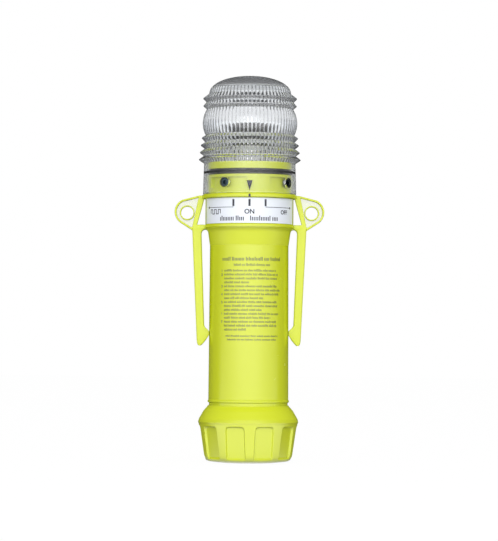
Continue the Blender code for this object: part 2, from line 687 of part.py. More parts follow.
def retaining_screws():
    """Slotted screws through the skirt into the neck's slots, and the magnet behind one of them."""
    head = skirt_radius - SKIRT_DRAFT - SCREW_SINK
    tip = neck_radius - SCREW_REACH
    for n in range(SCREW_COUNT):
        place = outward(SCREW_AZIMUTH + 2 * math.pi * n / SCREW_COUNT, screw_z)
        profile = [(0.0, head), (SCREW_RADIUS, head), (SCREW_RADIUS, tip), (0.0, tip)]
        screw = turned(f"retaining_screw_{n + 1}", profile, dark_steel, steps=SMALL_STEPS, matrix=place)
        slot = box(f"screw_slot_{n + 1}", (2.4 * SCREW_RADIUS, SCREW_SLOT, 2 * SCREW_SLOT_DEPTH), (0, 0, 0), None,
                   cutters)
        slot.matrix_world = place @ Matrix.Translation((0.0, 0.0, head))
        joined(screw, slot, "DIFFERENCE")
    top = tip - GAP
    foot = top - MAGNET_THICKNESS
    profile = [(0.0, top), (MAGNET_RADIUS, top), (MAGNET_RADIUS, foot), (0.0, foot)]
    azimuth = SCREW_AZIMUTH + 2 * math.pi * MAGNET_SCREW / SCREW_COUNT
    turned("selector_magnet", profile, bright_steel, steps=SMALL_STEPS, matrix=outward(azimuth, screw_z))


def spacer_places():
    """Where the module's spacers and screws stand."""
    angles = [math.pi / 2 + 2 * math.pi * n / SPACER_COUNT for n in range(SPACER_COUNT)]
    return [(SPACER_CIRCLE * math.cos(a), SPACER_CIRCLE * math.sin(a)) for a in angles]


def drilled_disc(name, radius, low, high, hole, middle_hole, material):
    """A round plate with the module's screw holes, and one in its middle if it has a radius."""
    holes = [circle(hole, SMALL_STEPS, place) for place in spacer_places()]
    if middle_hole:
        holes.append(circle(middle_hole, SMALL_STEPS))
    lift = Matrix.Translation((0.0, 0.0, (low + high) / 2))
    return flat(name, [circle(radius, ROUND_STEPS)] + holes, high - low, material, matrix=lift)


def light_module():
    """Contact carrier, driver board and LED board, stacked on spacers and held by three screws."""
    hole = MODULE_SCREW_RADIUS + GAP
    disc = inner_radius * math.cos(math.pi / ROUND_STEPS) - BOARD_EDGE
    carrier_top = carrier_z + CARRIER_HEIGHT
    board_top = driver_board_z + BOARD_THICKNESS
    drilled_disc("contact_carrier", disc, carrier_z, carrier_top, hole, CONTACT_SHANK + GAP, black_plastic)
    contact_z = cells_top + GAP
    contact = [
        (0.0, carrier_top),
        (CONTACT_SHANK, carrier_top),
        (CONTACT_SHANK, contact_z + CONTACT_HEAD),
        (CONTACT_RADIUS, contact_z + CONTACT_HEAD),
        (CONTACT_RADIUS, contact_z),
        (0.0, contact_z),
    ]
    turned("positive_contact", contact, brass, steps=SMALL_STEPS)
    drilled_disc("driver_board", disc, driver_board_z, board_top, hole, 0.0, green_board)
    drilled_disc("led_board", disc, led_board_z, led_board_z + BOARD_THICKNESS, hole, 0.0, white_board)
    head_z_low = led_board_z + BOARD_THICKNESS + GAP
    head_top = head_z_low + MODULE_HEAD_HEIGHT
    screw = [
        (0.0, head_top),
        (MODULE_HEAD_RADIUS, head_top),
        (MODULE_HEAD_RADIUS, head_z_low),
        (MODULE_SCREW_RADIUS, head_z_low),
        (MODULE_SCREW_RADIUS, carrier_z + GAP),
        (0.0, carrier_z + GAP),
    ]
    spacer = [(SPACER_RADIUS, SPACER_HEIGHT), (SPACER_RADIUS, 0.0), (hole, 0.0), (hole, SPACER_HEIGHT)]
    for n, (x, y) in enumerate(spacer_places(), start=1):
        turned(f"board_spacer_{n}", spacer, bright_steel, steps=SMALL_STEPS,
               matrix=Matrix.Translation((x, y, spacer_z)))
        turned(f"module_screw_{n}", screw, dark_steel, steps=SMALL_STEPS, matrix=Matrix.Translation((x, y, 0)))
    box("driver_chip", CHIP_SIZE, (*CHIP_PLACE, spacer_z + CHIP_SIZE[2] / 2), black_plastic)
    box("inductor", INDUCTOR_SIZE, (*INDUCTOR_PLACE, spacer_z + INDUCTOR_SIZE[2] / 2), black_plastic)
    can = [(0.0, CAPACITOR_HEIGHT), (CAPACITOR_RADIUS, CAPACITOR_HEIGHT), (CAPACITOR_RADIUS, 0.0), (0.0, 0.0)]
    turned("capacitor", can, bright_steel, steps=SMALL_STEPS,
           matrix=Matrix.Translation((*CAPACITOR_PLACE, spacer_z)))
    magnet_azimuth = SCREW_AZIMUTH + 2 * math.pi * MAGNET_SCREW / SCREW_COUNT
    for n, turn in enumerate((-LENS_TURN, 0.0), start=1):
        azimuth = magnet_azimuth + turn
        centre = (REED_CIRCLE * math.sin(azimuth), -REED_CIRCLE * math.cos(azimuth), spacer_z + REED_SIZE[2] / 2)
        box(f"reed_switch_{n}", REED_SIZE, centre, black_plastic, turn=azimuth)


def led_post():
    """Six-sided post on the LED board, an LED on each side, and a round cap on top."""
    shape = bmesh.new()
    bmesh.ops.create_cone(shape, cap_ends=True, segments=LED_COUNT, radius1=HOLDER_RADIUS, radius2=HOLDER_RADIUS,
                          depth=holder_top - holder_z)
    mesh = bpy.data.meshes.new("led_holder")
    shape.to_mesh(mesh)
    shape.free()
    middle = Matrix.Translation((0.0, 0.0, (holder_top + holder_z) / 2))
    placed("led_holder", mesh, pale_plastic, matrix=middle)
    side = HOLDER_RADIUS * math.cos(math.pi / LED_COUNT) + GAP
    dome = arc(LED_DOME_RADIUS, math.pi / 2, 0.0, 3, (0.0, side + LED_BASE_HEIGHT))
    dome[0] = (0.0, dome[0][1])
    profile = dome + [(LED_BASE_RADIUS, side + LED_BASE_HEIGHT), (LED_BASE_RADIUS, side), (0.0, side)]
    for n in range(LED_COUNT):
        azimuth = 2 * math.pi * (n + 0.5) / LED_COUNT
        turned(f"led_{n + 1}", profile, led_resin, steps=SMALL_STEPS, matrix=outward(azimuth, led_z))
    low = holder_top + GAP
    top = low + POST_CAP_HEIGHT
    edge = [(POST_CAP_RADIUS - POST_CAP_EDGE, top), (POST_CAP_RADIUS, top - POST_CAP_EDGE), (POST_CAP_RADIUS, low)]
    turned("post_cap", [(0.0, top)] + edge + [(0.0, low)], black_plastic)


body_shell()
battery_cap()
seals()
tail_contacts()
battery_cells()
dial_label()
for side_name, side_sign in (("left", -1), ("right", 1)):
    lanyard_wing(f"lanyard_wing_{side_name}", side_sign)
    belt_clip(f"belt_clip_{side_name}", side_sign)
lens()
retaining_screws()
light_module()
led_post()

for piece in parts.objects:
    piece.data.shade_smooth()
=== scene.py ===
"""Hand-held battery beacon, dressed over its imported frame: metres, +Z up, the label faces -Y."""
import math
import random

import bmesh
import bpy
from mathutils import Matrix, Vector


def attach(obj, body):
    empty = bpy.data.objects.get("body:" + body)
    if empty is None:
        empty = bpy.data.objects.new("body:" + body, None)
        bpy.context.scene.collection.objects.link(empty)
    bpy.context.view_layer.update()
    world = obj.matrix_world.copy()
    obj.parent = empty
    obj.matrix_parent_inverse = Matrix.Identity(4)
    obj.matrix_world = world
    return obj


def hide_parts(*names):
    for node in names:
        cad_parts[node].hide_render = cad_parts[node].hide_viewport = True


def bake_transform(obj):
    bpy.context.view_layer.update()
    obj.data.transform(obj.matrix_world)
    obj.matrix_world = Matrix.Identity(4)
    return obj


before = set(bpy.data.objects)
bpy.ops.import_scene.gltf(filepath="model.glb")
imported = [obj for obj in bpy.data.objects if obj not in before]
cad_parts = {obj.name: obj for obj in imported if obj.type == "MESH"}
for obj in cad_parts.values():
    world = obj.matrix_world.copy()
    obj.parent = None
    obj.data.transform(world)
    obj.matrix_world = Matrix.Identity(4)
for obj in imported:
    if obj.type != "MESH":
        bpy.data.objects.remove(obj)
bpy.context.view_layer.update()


# The studio: a white sweep behind and under the beacon, one wide soft box in front of it and an even fill.
# The camera stands a metre and a half away, a little below the middle, as in the photograph.
scene = bpy.context.scene
scene.view_settings.view_transform = "Standard"

camera = bpy.data.objects.new("photo_camera", bpy.data.cameras.new("photo_camera"))
scene.collection.objects.link(camera)
camera.data.lens = 191.4
camera.data.sensor_width = 36.0
camera.data.clip_end = 20.0
camera.location = (0.0002, -1.53, 0.063)
camera.rotation_euler = (math.radians(91.46), math.radians(-0.36), 0.0)
scene.camera = camera

lamp = bpy.data.lights.new("front_box", "AREA")
lamp.shape = "RECTANGLE"
lamp.size, lamp.size_y = 2.6, 1.5
lamp.energy = 29.2
front_box = bpy.data.objects.new("front_box", lamp)
scene.collection.objects.link(front_box)
front_box.location = (0.0, -1.75, 0.80)
aim = Vector((0.0, 0.0, 0.10)) - front_box.location
front_box.rotation_euler = aim.to_track_quat("-Z", "Y").to_euler()
front_box.visible_glossy = front_box.visible_transmission = False


def new_material(name):
    """An empty node material, with its tree and its output."""
    material = bpy.data.materials.new(name)
    material.use_nodes = True
    tree = material.node_tree
    tree.nodes.clear()
    return material, tree, tree.nodes.new("ShaderNodeOutputMaterial")


def fed(tree, socket, value):
    """Gives an input the output of another node, or a plain number or colour."""
    if isinstance(value, bpy.types.NodeSocket):
        tree.links.new(value, socket)
    else:
        socket.default_value = value


def worked(tree, operation, *values):
    """One step of arithmetic on outputs and plain numbers."""
    node = tree.nodes.new("ShaderNodeMath")
    node.operation = operation
    for socket, value in zip(node.inputs, values):
        fed(tree, socket, value)
    return node.outputs[0]


def ranged(tree, value, old=(0.0, 1.0), new=(0.0, 1.0)):
    """A value carried over from one range to another."""
    node = tree.nodes.new("ShaderNodeMapRange")
    for label, number in zip(("From Min", "From Max", "To Min", "To Max"), (*old, *new)):
        node.inputs[label].default_value = number
    tree.links.new(value, node.inputs["Value"])
    return node.outputs[0]


def axis_of(tree, kind, axis):
    """How far along an axis a point lies, in a piece's own space or in the room's directions."""
    where, split = tree.nodes.new("ShaderNodeTexCoord"), tree.nodes.new("ShaderNodeSeparateXYZ")
    tree.links.new(where.outputs[kind], split.inputs[0])
    return split.outputs[axis]


def toned(tree, value, stops):
    """A ramp of greys or colours along a value from 0 to 1."""
    node = tree.nodes.new("ShaderNodeValToRGB")
    ramp = node.color_ramp.elements
    ramp.remove(ramp[1])
    for n, (position, tone) in enumerate(stops):
        stop = ramp.new(position) if n else ramp[0]
        stop.position = position
        stop.color = (*tone, 1.0) if isinstance(tone, tuple) else (tone, tone, tone, 1.0)
    tree.links.new(value, node.inputs[0])
    return node.outputs[0]


def mixed(tree, way, first, second, share=1.0):
    """Two colours multiplied, added or shared out."""
    node = tree.nodes.new("ShaderNodeMix")
    node.data_type = "RGBA"
    node.blend_type = way
    fed(tree, node.inputs["Factor"], share)
    fed(tree, node.inputs[6], first)
    fed(tree, node.inputs[7], second)
    return node.outputs[2]


def shown(tree, share, first, second, output):
    """Puts two shaders on show: the first where the share is 0, the second where it is 1."""
    mix = tree.nodes.new("ShaderNodeMixShader")
    for socket, source in zip(mix.inputs, (share, first.outputs[0], second.outputs[0])):
        tree.links.new(source, socket)
    tree.links.new(mix.outputs[0], output.inputs["Surface"])


def seen_directly(tree):
    """1 for a camera, glossy or transmission ray, which sees the white sweep itself, and 0 for light."""
    path = tree.nodes.new("ShaderNodeLightPath").outputs
    outside = worked(tree, "MAXIMUM", path["Is Camera Ray"], path["Is Glossy Ray"])
    return worked(tree, "MAXIMUM", outside, path["Is Transmission Ray"]), path


# Greys of the room from front to back and from the floor up, as gloss mirrors it and as the lens shows it.
MIRRORED_DEPTH = [(0.0, 0.97), (0.03, 0.92), (0.165, 0.57), (0.30, 0.34), (0.36, 0.22), (0.41, 0.03), (1.0, 0.015)]
MIRRORED_RISE = [(0.0, 1.0), (0.045, 0.60), (0.30, 0.42), (0.65, 0.12)]
LENS_DEPTH = [(0.0, 0.67), (0.06, 0.60), (0.18, 0.28), (0.33, 0.017), (0.94, 0.017), (0.990, (0.283, 0.296, 0.308))]
LENS_RISE = [(0.10, 1.0), (0.65, 0.15)]
ROOM_DIM = 0.085
WHITE_LEVEL = 1.0 / 3.0
FILL_TONE = (0.90, 0.905, 0.915, 1.0)
room = bpy.data.worlds.new("white_studio")
scene.world = room
room.use_nodes = True
tree = room.node_tree
tree.nodes.clear()
seen, path = seen_directly(tree)
depth = ranged(tree, axis_of(tree, "Generated", "Y"), (-1.0, 1.0))
rise = axis_of(tree, "Generated", "Z")
mirrored = mixed(tree, "MULTIPLY", toned(tree, depth, MIRRORED_DEPTH), toned(tree, rise, MIRRORED_RISE))
through = mixed(tree, "MULTIPLY", toned(tree, depth, LENS_DEPTH), toned(tree, rise, LENS_RISE))
through = mixed(tree, "ADD", through, (ROOM_DIM, ROOM_DIM, ROOM_DIM, 1.0))
sweep = mixed(tree, "MIX", mirrored, through, path["Is Transmission Ray"])
sweep = mixed(tree, "MIX", sweep, (WHITE_LEVEL, WHITE_LEVEL, WHITE_LEVEL, 1.0), path["Is Camera Ray"])
white = tree.nodes.new("ShaderNodeBackground")
white.inputs["Strength"].default_value = 1.0 / WHITE_LEVEL
tree.links.new(sweep, white.inputs["Color"])
fill = tree.nodes.new("ShaderNodeBackground")
fill.inputs["Color"].default_value = FILL_TONE
shown(tree, seen, fill, white, tree.nodes.new("ShaderNodeOutputWorld"))

# The floor is white to the camera and keeps the shadow; gloss mirrors it as pale and dark bands.
FLOOR_REACH, FLOOR_DROP = 4.0, 0.00005
FLOOR_GREY, FLOOR_GLOW, GLOW_SHARE = 0.25, 1.08, 0.90
MIRRORED_GLOW, MIRRORED_REACH = 3.0, (-0.6, 0.1)
MIRRORED_FLOOR = [(0.30, 1.0), (0.43, 0.20), (0.62, 0.20), (0.69, 1.0), (0.80, 1.0), (0.87, 0.02)]
floor_mesh = bpy.data.meshes.new("floor")
floor_form = bmesh.new()
bmesh.ops.create_grid(floor_form, x_segments=8, y_segments=8, size=FLOOR_REACH)
floor_form.to_mesh(floor_mesh)
floor_form.free()
floor = bpy.data.objects.new("floor", floor_mesh)
scene.collection.objects.link(floor)
floor.location.z = -FLOOR_DROP
paper, tree, output = new_material("white_paper")
seen, path = seen_directly(tree)
matt = tree.nodes.new("ShaderNodeBsdfDiffuse")
matt.inputs["Color"].default_value = (FLOOR_GREY, FLOOR_GREY, FLOOR_GREY, 1.0)
glow = tree.nodes.new("ShaderNodeEmission")
glow.inputs["Color"].default_value = (1.0, 1.0, 1.0, 1.0)
mirror = worked(tree, "SUBTRACT", path["Is Glossy Ray"], path["Is Transmission Ray"])
mirror.node.use_clamp = True
ahead = ranged(tree, axis_of(tree, "Object", "Y"), MIRRORED_REACH)
near = worked(tree, "MULTIPLY", toned(tree, ahead, MIRRORED_FLOOR), MIRRORED_GLOW)
lit = tree.nodes.new("ShaderNodeMix")
lit.inputs["A"].default_value = FLOOR_GLOW
tree.links.new(near, lit.inputs["B"])
tree.links.new(mirror, lit.inputs["Factor"])
tree.links.new(lit.outputs[0], glow.inputs["Strength"])
shown(tree, worked(tree, "MULTIPLY", seen, GLOW_SHARE), matt, glow, output)
floor_mesh.materials.append(paper)


# The body: tube, head, two flanges, label band and neck, injected in one fluorescent yellow-green plastic.
# It is turned here from its outline, with soft mould edges, seal grooves and the four slots of the neck.
# The head under the label is a little duller than the tube.
MM = 0.001
STRAIGHT = math.radians(178)
FILLET_SHARE, LEAD_SHARE, LEAD_REACH = 0.45, 0.25, 0.04


def rounded(corners, steps=5):
    """An outline (radius, height) from corners (radius, height, fillet), in millimetres.

    A fillet takes less than half of each side, and a short straight piece leads into it."""
    points = []
    count = len(corners)
    for n, (x, z, fillet) in enumerate(corners):
        here = Vector((x, z))
        back = Vector(corners[n - 1][:2]) - here
        ahead = Vector(corners[(n + 1) % count][:2]) - here
        angle = back.angle(ahead)
        if fillet <= 0.0 or angle > STRAIGHT:
            points.append((x, z))
            continue
        reach = min(fillet / math.tan(angle / 2), FILLET_SHARE * back.length, FILLET_SHARE * ahead.length)
        a = here + back.normalized() * reach
        b = here + ahead.normalized() * reach
        lead = [min(LEAD_SHARE * fillet, LEAD_REACH * side.length) for side in (back, ahead)]
        points.append(tuple(a + back.normalized() * lead[0]))
        for k in range(steps + 1):
            t = k / steps
            bow = a * (1 - t) ** 2 + here * (2 * t * (1 - t)) + b * t * t
            points.append(tuple(bow))
        points.append(tuple(b + ahead.normalized() * lead[1]))
    return points


def smooth(mesh, angle=32.0):
    """Smooth shading, with the edges sharper than the angle kept crisp."""
    mesh.shade_smooth()
    mesh.set_sharp_from_angle(angle=math.radians(angle))


def stood(name, mesh, material, body, slot, *nodes):
    """Puts a finished mesh in the scene, on its body, with its finish and the nodes it stands for."""
    mesh.materials.clear()
    mesh.materials.append(material)
    piece = bpy.data.objects.new(name, mesh)
    scene.collection.objects.link(piece)
    if body:
        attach(piece, body)
    if nodes:
        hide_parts(*nodes)
    return piece


def closed_mesh(name, form):
    """The mesh of a bmesh form, with its faces outward."""
    bmesh.ops.recalc_face_normals(form, faces=form.faces)
    mesh = bpy.data.meshes.new(name)
    form.to_mesh(mesh)
    form.free()
    return mesh


def lofted(name, form, rows):
    """The mesh over rows of points, each joined to the next, with the first and last row filled in."""
    for a, b in zip(rows, rows[1:]):
        for k in range(len(a)):
            form.faces.new((a[k], a[k - 1], b[k - 1], b[k]))
    form.faces.new(rows[0])
    form.faces.new(rows[-1][::-1])
    return closed_mesh(name, form)


def evaluated_mesh(former):
    """The mesh that a curve, a word or a piece with its modifiers comes to."""
    bpy.context.view_layer.update()
    return bpy.data.meshes.new_from_object(former.evaluated_get(bpy.context.evaluated_depsgraph_get()))


def turned(name, outline, turn, bend=None):
    """A closed outline in millimetres, turned about Z in so many steps, or at the angles given.

    bend(angle, radius, height) may move a point in or out."""
    form = bmesh.new()
    angles = turn if isinstance(turn, list) else [2 * math.pi * n / turn for n in range(turn)]
    steps = len(angles)
    rings = []
    for x, z in outline:
        if x < 1e-6:
            rings.append([form.verts.new((0.0, 0.0, z * MM))] * steps)
            continue
        ring = []
        for angle in angles:
            r = bend(angle, x, z) if bend else x
            ring.append(form.verts.new((r * MM * math.sin(angle), -r * MM * math.cos(angle), z * MM)))
        rings.append(ring)
    for a, b in zip(rings, rings[1:] + rings[:1]):
        for n in range(steps):
            m = (n + 1) % steps
            corner = list(dict.fromkeys((a[n], b[n], b[m], a[m])))
            if len(corner) > 2:
                form.faces.new(corner)
    return closed_mesh(name, form)


def effect(name, takes, gives):
    """An empty shader node group with named inputs and outputs, which are returned with it."""
    group = bpy.data.node_groups.new(name, "ShaderNodeTree")
    for way, sockets in (("INPUT", takes), ("OUTPUT", gives)):
        for label, kind in sockets.items():
            group.interface.new_socket(label, in_out=way, socket_type="NodeSocket" + kind)
    return group, group.nodes.new("NodeGroupInput").outputs, group.nodes.new("NodeGroupOutput").inputs


def clouds(tree, scale, detail=2.0):
    """Noise from 0 to 1 in a piece's own space."""
    where, noise = tree.nodes.new("ShaderNodeTexCoord"), tree.nodes.new("ShaderNodeTexNoise")
    tree.links.new(where.outputs["Object"], noise.inputs["Vector"])
    fed(tree, noise.inputs["Scale"], scale)
    noise.inputs["Detail"].default_value = detail
    return noise.outputs["Fac"]


FLOW_SCALE, HAZE_SCALE, GRAIN_SCALE = 38.0, 150.0, 2600.0


def moulded_skin():
    """Moulded plastic: faint flow in the colour, a fine satin grain and uneven gloss."""
    group, given, made = effect("moulded_skin",
                                {"Colour": "Color", "Flow": "Float", "Gloss": "Float", "Grain": "Float"},
                                {"Colour": "Color", "Roughness": "Float", "Height": "Float"})
    drift = ranged(group, clouds(group, FLOW_SCALE, 3.0), new=(-1.0, 1.0))
    tone = group.nodes.new("ShaderNodeHueSaturation")
    fed(group, tone.inputs["Color"], given["Colour"])
    fed(group, tone.inputs["Value"], worked(group, "MULTIPLY_ADD", drift, given["Flow"], 1.0))
    fed(group, made["Colour"], tone.outputs[0])
    haze = clouds(group, HAZE_SCALE, 4.0)
    fed(group, made["Roughness"], worked(group, "MULTIPLY_ADD", haze, given["Grain"], given["Gloss"]))
    fed(group, made["Height"], clouds(group, GRAIN_SCALE))
    return group


SKIN = moulded_skin()
GRAIN_DEPTH = 0.0002


def moulded(name, colour, gloss, flow=0.008, grain=0.02, bump=0.02, specular=1.0):
    """A moulded plastic finish; returns the material and its shader."""
    material, tree, output = new_material(name)
    skin = tree.nodes.new("ShaderNodeGroup")
    skin.node_tree = SKIN
    skin.inputs["Colour"].default_value = (*colour, 1.0)
    skin.inputs["Flow"].default_value = flow
    skin.inputs["Gloss"].default_value = gloss
    skin.inputs["Grain"].default_value = grain
    shader = tree.nodes.new("ShaderNodeBsdfPrincipled")
    shader.inputs["Specular IOR Level"].default_value = specular
    tree.links.new(skin.outputs["Colour"], shader.inputs["Base Color"])
    tree.links.new(skin.outputs["Roughness"], shader.inputs["Roughness"])
    if bump:
        relief = tree.nodes.new("ShaderNodeBump")
        relief.inputs["Strength"].default_value = bump
        relief.inputs["Distance"].default_value = GRAIN_DEPTH
        tree.links.new(skin.outputs["Height"], relief.inputs["Height"])
        tree.links.new(relief.outputs[0], shader.inputs["Normal"])
    tree.links.new(shader.outputs[0], output.inputs["Surface"])
    return material, shader


def height_zone():
    """1 between two heights of a piece, and 0 above and below them."""
    group, given, made = effect("height_zone", {"Low": "Float", "High": "Float"}, {"Zone": "Float"})
    height = axis_of(group, "Object", "Z")
    above = worked(group, "GREATER_THAN", height, given["Low"])
    below = worked(group, "LESS_THAN", height, given["High"])
    fed(group, made["Zone"], worked(group, "MULTIPLY", above, below))
    return group


YELLOW = (0.60, 0.67, 0.008)
HEAD_LOW, HEAD_HIGH, HEAD_DULLER = 115.1, 124.2, 0.22
yellow_body, shader = moulded("yellow_moulding", YELLOW, 0.26)
tree = yellow_body.node_tree
head = tree.nodes.new("ShaderNodeGroup")
head.node_tree = height_zone()
head.inputs["Low"].default_value = HEAD_LOW * MM
head.inputs["High"].default_value = HEAD_HIGH * MM
gloss = shader.inputs["Roughness"].links[0].from_socket
tree.links.new(worked(tree, "MULTIPLY_ADD", head.outputs["Zone"], HEAD_DULLER, gloss), shader.inputs["Roughness"])

BODY_OUTLINE = [
    (22.0, 159.3, 0.5), (22.0, 155.3, 0.2), (19.4, 155.3, 0.3), (19.4, 152.3, 0.3), (22.0, 152.3, 0.2),
    (22.0, 142.0, 0.5), (25.3, 142.0, 0.6), (25.3, 140.05, 0.6), (23.4, 140.05, 0.3), (23.4, 126.0, 0.3),
    (24.0, 126.0, 0.3), (24.0, 124.75, 0.6), (22.0, 122.7, 2.6), (20.95, 115.4, 0.1), (20.87, 115.2, 0.08),
    (21.25, 33.3, 0.35), (21.6, 32.9, 0.25), (21.6, 32.1, 0.25), (20.9, 31.7, 0.2),
    (20.9, 28.25, 0.15), (19.2, 28.25, 0.2), (19.2, 26.15, 0.2), (20.9, 26.15, 0.15),
    (20.9, 24.5, 0.2), (20.0, 23.6, 0.2), (20.0, 8.0, 0.5), (18.0, 8.0, 0.5), (18.0, 159.3, 0.5),
]
BODY_STEPS = 144
NECK_SLOT_HALF, NECK_SLOT_STEPS = 28.9, 24
NECK_SLOT_LOW, NECK_SLOT_HIGH = 145.2, 150.8
NECK_SLOT_FLOOR, NECK_SLOT_OUT = 20.9, 24.0
SCREW_AZIMUTHS = [-33.0 + 90.0 * n for n in range(4)]


def wrapped(angle, radius, height):
    """A point at an azimuth in degrees from the front, in millimetres."""
    a = math.radians(angle)
    return Vector((radius * MM * math.sin(a), -radius * MM * math.cos(a), height * MM))


def curved_block(name, inner, outer, azimuth, half, low, high, steps):
    """A block bent round the axis, such as the tool that opens a slot or a film wrapped on the band."""
    form = bmesh.new()
    rows = []
    for n in range(steps + 1):
        angle = azimuth + half * (2.0 * n / steps - 1.0)
        corners = ((inner, low), (outer, low), (outer, high), (inner, high))
        rows.append([form.verts.new(wrapped(angle, r, z)) for r, z in corners])
    return lofted(name, form, rows)


def combined(piece, tool_mesh, operation):
    """Joins a tool to a piece, or cuts the piece with it, for good."""
    tool = bpy.data.objects.new(tool_mesh.name, tool_mesh)
    scene.collection.objects.link(tool)
    step = piece.modifiers.new("step", "BOOLEAN")
    step.operation = operation
    step.solver = "EXACT"
    step.object = tool
    result = evaluated_mesh(piece)
    piece.modifiers.clear()
    old = piece.data
    name = old.name
    piece.data = result
    bpy.data.meshes.remove(old)
    result.name = name
    bpy.data.objects.remove(tool)
    bpy.data.meshes.remove(tool_mesh)


body = stood("body_moulding", turned("body_moulding", rounded(BODY_OUTLINE), BODY_STEPS), yellow_body,
             "shell", "yellow_plastic", "body_shell")
for azimuth in SCREW_AZIMUTHS:
    combined(body, curved_block("neck_slot", NECK_SLOT_FLOOR, NECK_SLOT_OUT, azimuth, NECK_SLOT_HALF,
                                NECK_SLOT_LOW, NECK_SLOT_HIGH, NECK_SLOT_STEPS), "DIFFERENCE")
smooth(body.data)


# The tube's thread: a rounded ridge moulded on the tube's foot, three turns of 4 mm pitch, tapered at both ends.
# The battery cap screws on it; only its last turn shows when the cap is unscrewed.
def swept(name, points, radii, sides):
    """A closed rod through the points, with a radius at each of them, in metres."""
    form = bmesh.new()
    rows = []
    for n, point in enumerate(points):
        ahead = points[min(n + 1, len(points) - 1)] - points[max(n - 1, 0)]
        out = Vector((point.x, point.y, 0.0)).normalized()
        up = ahead.cross(out).normalized()
        across = up.cross(ahead).normalized()
        row = []
        for k in range(sides):
            a = 2 * math.pi * k / sides
            row.append(form.verts.new(point + (across * math.cos(a) + up * math.sin(a)) * radii[n]))
        rows.append(row)
    return lofted(name, form, rows)


THREAD_LOW, THREAD_PITCH, THREAD_TURNS = 10.7, 4.0, 3
THREAD_ROOT, THREAD_RIDGE, THREAD_SIDES = 20.0, 0.9, 10
THREAD_STEPS = 48
END_SHARE, END_RISE = 0.15, 4.0
turns = [n / THREAD_STEPS for n in range(THREAD_STEPS * THREAD_TURNS + 1)]
helix = [wrapped(360.0 * t, THREAD_ROOT, THREAD_LOW + THREAD_PITCH * t) for t in turns]
swell = [THREAD_RIDGE * MM * max(END_SHARE, min(1.0, END_RISE * t, END_RISE * (THREAD_TURNS - t))) for t in turns]
thread = stood("tube_thread", swept("tube_thread", helix, swell, THREAD_SIDES), yellow_body,
               "shell", "yellow_plastic")
smooth(thread.data, 50.0)


# The lanyard wings: one flat ear on each side, part of the body moulding, with a sloped arm beside the label,
# a rim round the tab and a raised boss round the eye; the web between them is so thin that light shows through.
TAB, EYE, ARCH = (32.8, 133.0), (33.1, 132.5), (23.5, 121.55)
TAB_RADIUS, EYE_RADIUS, BOSS_RADIUS, ARCH_RADIUS = 7.0, 3.3, 3.95, 2.0
TAB_ARC, ARCH_ARC, FULL_RING = (67, -53, 24), (-20, 180, 20), (0, 350, 35)
RIM_WIDTH, WEB_GAP = 1.0, 0.4
WING_DEPTH, BOSS_DEPTH, WEB_DEPTH = 4.4, 4.2, 1.2
WING_EDGE, BOSS_EDGE, WEB_EDGE = 0.4, 0.3, 0.1
yellow_wing, _ = moulded("yellow_wing", YELLOW, 0.36)
yellow_web, web_shader = moulded("thin_yellow_web", (0.62, 0.70, 0.10), 0.30, bump=0.0)
web_shader.inputs["Alpha"].default_value = 0.15


def bow(radius, start, end, steps, centre):
    """Points on an arc between two angles in degrees, in the wing's plane."""
    turn = [math.radians(start + (end - start) * n / steps) for n in range(steps + 1)]
    return [(centre[0] + radius * math.cos(a), centre[1] + radius * math.sin(a)) for a in turn]


def plate(name, outlines, depth, edge, side, steps=4):
    """A flat plate of that depth along Y from outlines (x, z), with its edges rounded over."""
    curve = bpy.data.curves.new(name, "CURVE")
    curve.dimensions = "2D"
    curve.fill_mode = "BOTH"
    curve.extrude = (depth / 2 - edge) * MM
    curve.bevel_depth = edge * MM
    curve.bevel_resolution = steps
    curve.offset = -edge * MM
    for outline in outlines:
        line = curve.splines.new("POLY")
        line.points.add(len(outline) - 1)
        for point, (x, z) in zip(line.points, outline):
            point.co = (side * x * MM, z * MM, 0.0, 1.0)
        line.use_cyclic_u = True
    former = bpy.data.objects.new(name + "_former", curve)
    scene.collection.objects.link(former)
    mesh = evaluated_mesh(former)
    bpy.data.objects.remove(former)
    bpy.data.curves.remove(curve)
    mesh.transform(Matrix.Rotation(math.pi / 2, 4, "X"))
    form = bmesh.new()
    form.from_mesh(mesh)
    bpy.data.meshes.remove(mesh)
    bmesh.ops.remove_doubles(form, verts=form.verts, dist=1e-6)
    return closed_mesh(name, form)


WING_OUTLINE = [(23.6, 141.75), (26.6, 141.7)] + bow(TAB_RADIUS, *TAB_ARC, TAB)
WING_OUTLINE += [(30.4, 123.15), (26.2, 120.6)] + bow(ARCH_RADIUS, *ARCH_ARC, ARCH)
WING_OUTLINE += [(21.2, 126.2), (27.8, 126.2), (24.0, 140.1), (23.6, 140.1)]
TAB_WINDOW = [(27.1, 140.6)] + bow(TAB_RADIUS - RIM_WIDTH, *TAB_ARC, TAB) + [(30.9, 124.8), (30.3, 125.2)]
BOSS_RING = [bow(BOSS_RADIUS, *FULL_RING, EYE), bow(EYE_RADIUS, *FULL_RING, EYE)]
WEB_FORM = [TAB_WINDOW, bow(EYE_RADIUS + WEB_GAP, *FULL_RING, EYE)]
for side, hand in ((-1, "left"), (1, "right")):
    wing = stood("wing_" + hand, plate("wing_" + hand, [WING_OUTLINE, TAB_WINDOW], WING_DEPTH, WING_EDGE, side),
                 yellow_wing, "shell", "yellow_wing", "lanyard_wing_" + hand)
    combined(wing, plate("eye_boss", BOSS_RING, BOSS_DEPTH, BOSS_EDGE, side), "UNION")
    smooth(wing.data, 40.0)
    web = stood("wing_web_" + hand, plate("wing_web_" + hand, WEB_FORM, WEB_DEPTH, WEB_EDGE, side, 1),
                yellow_web, "shell", "yellow_wing")
    smooth(web.data)


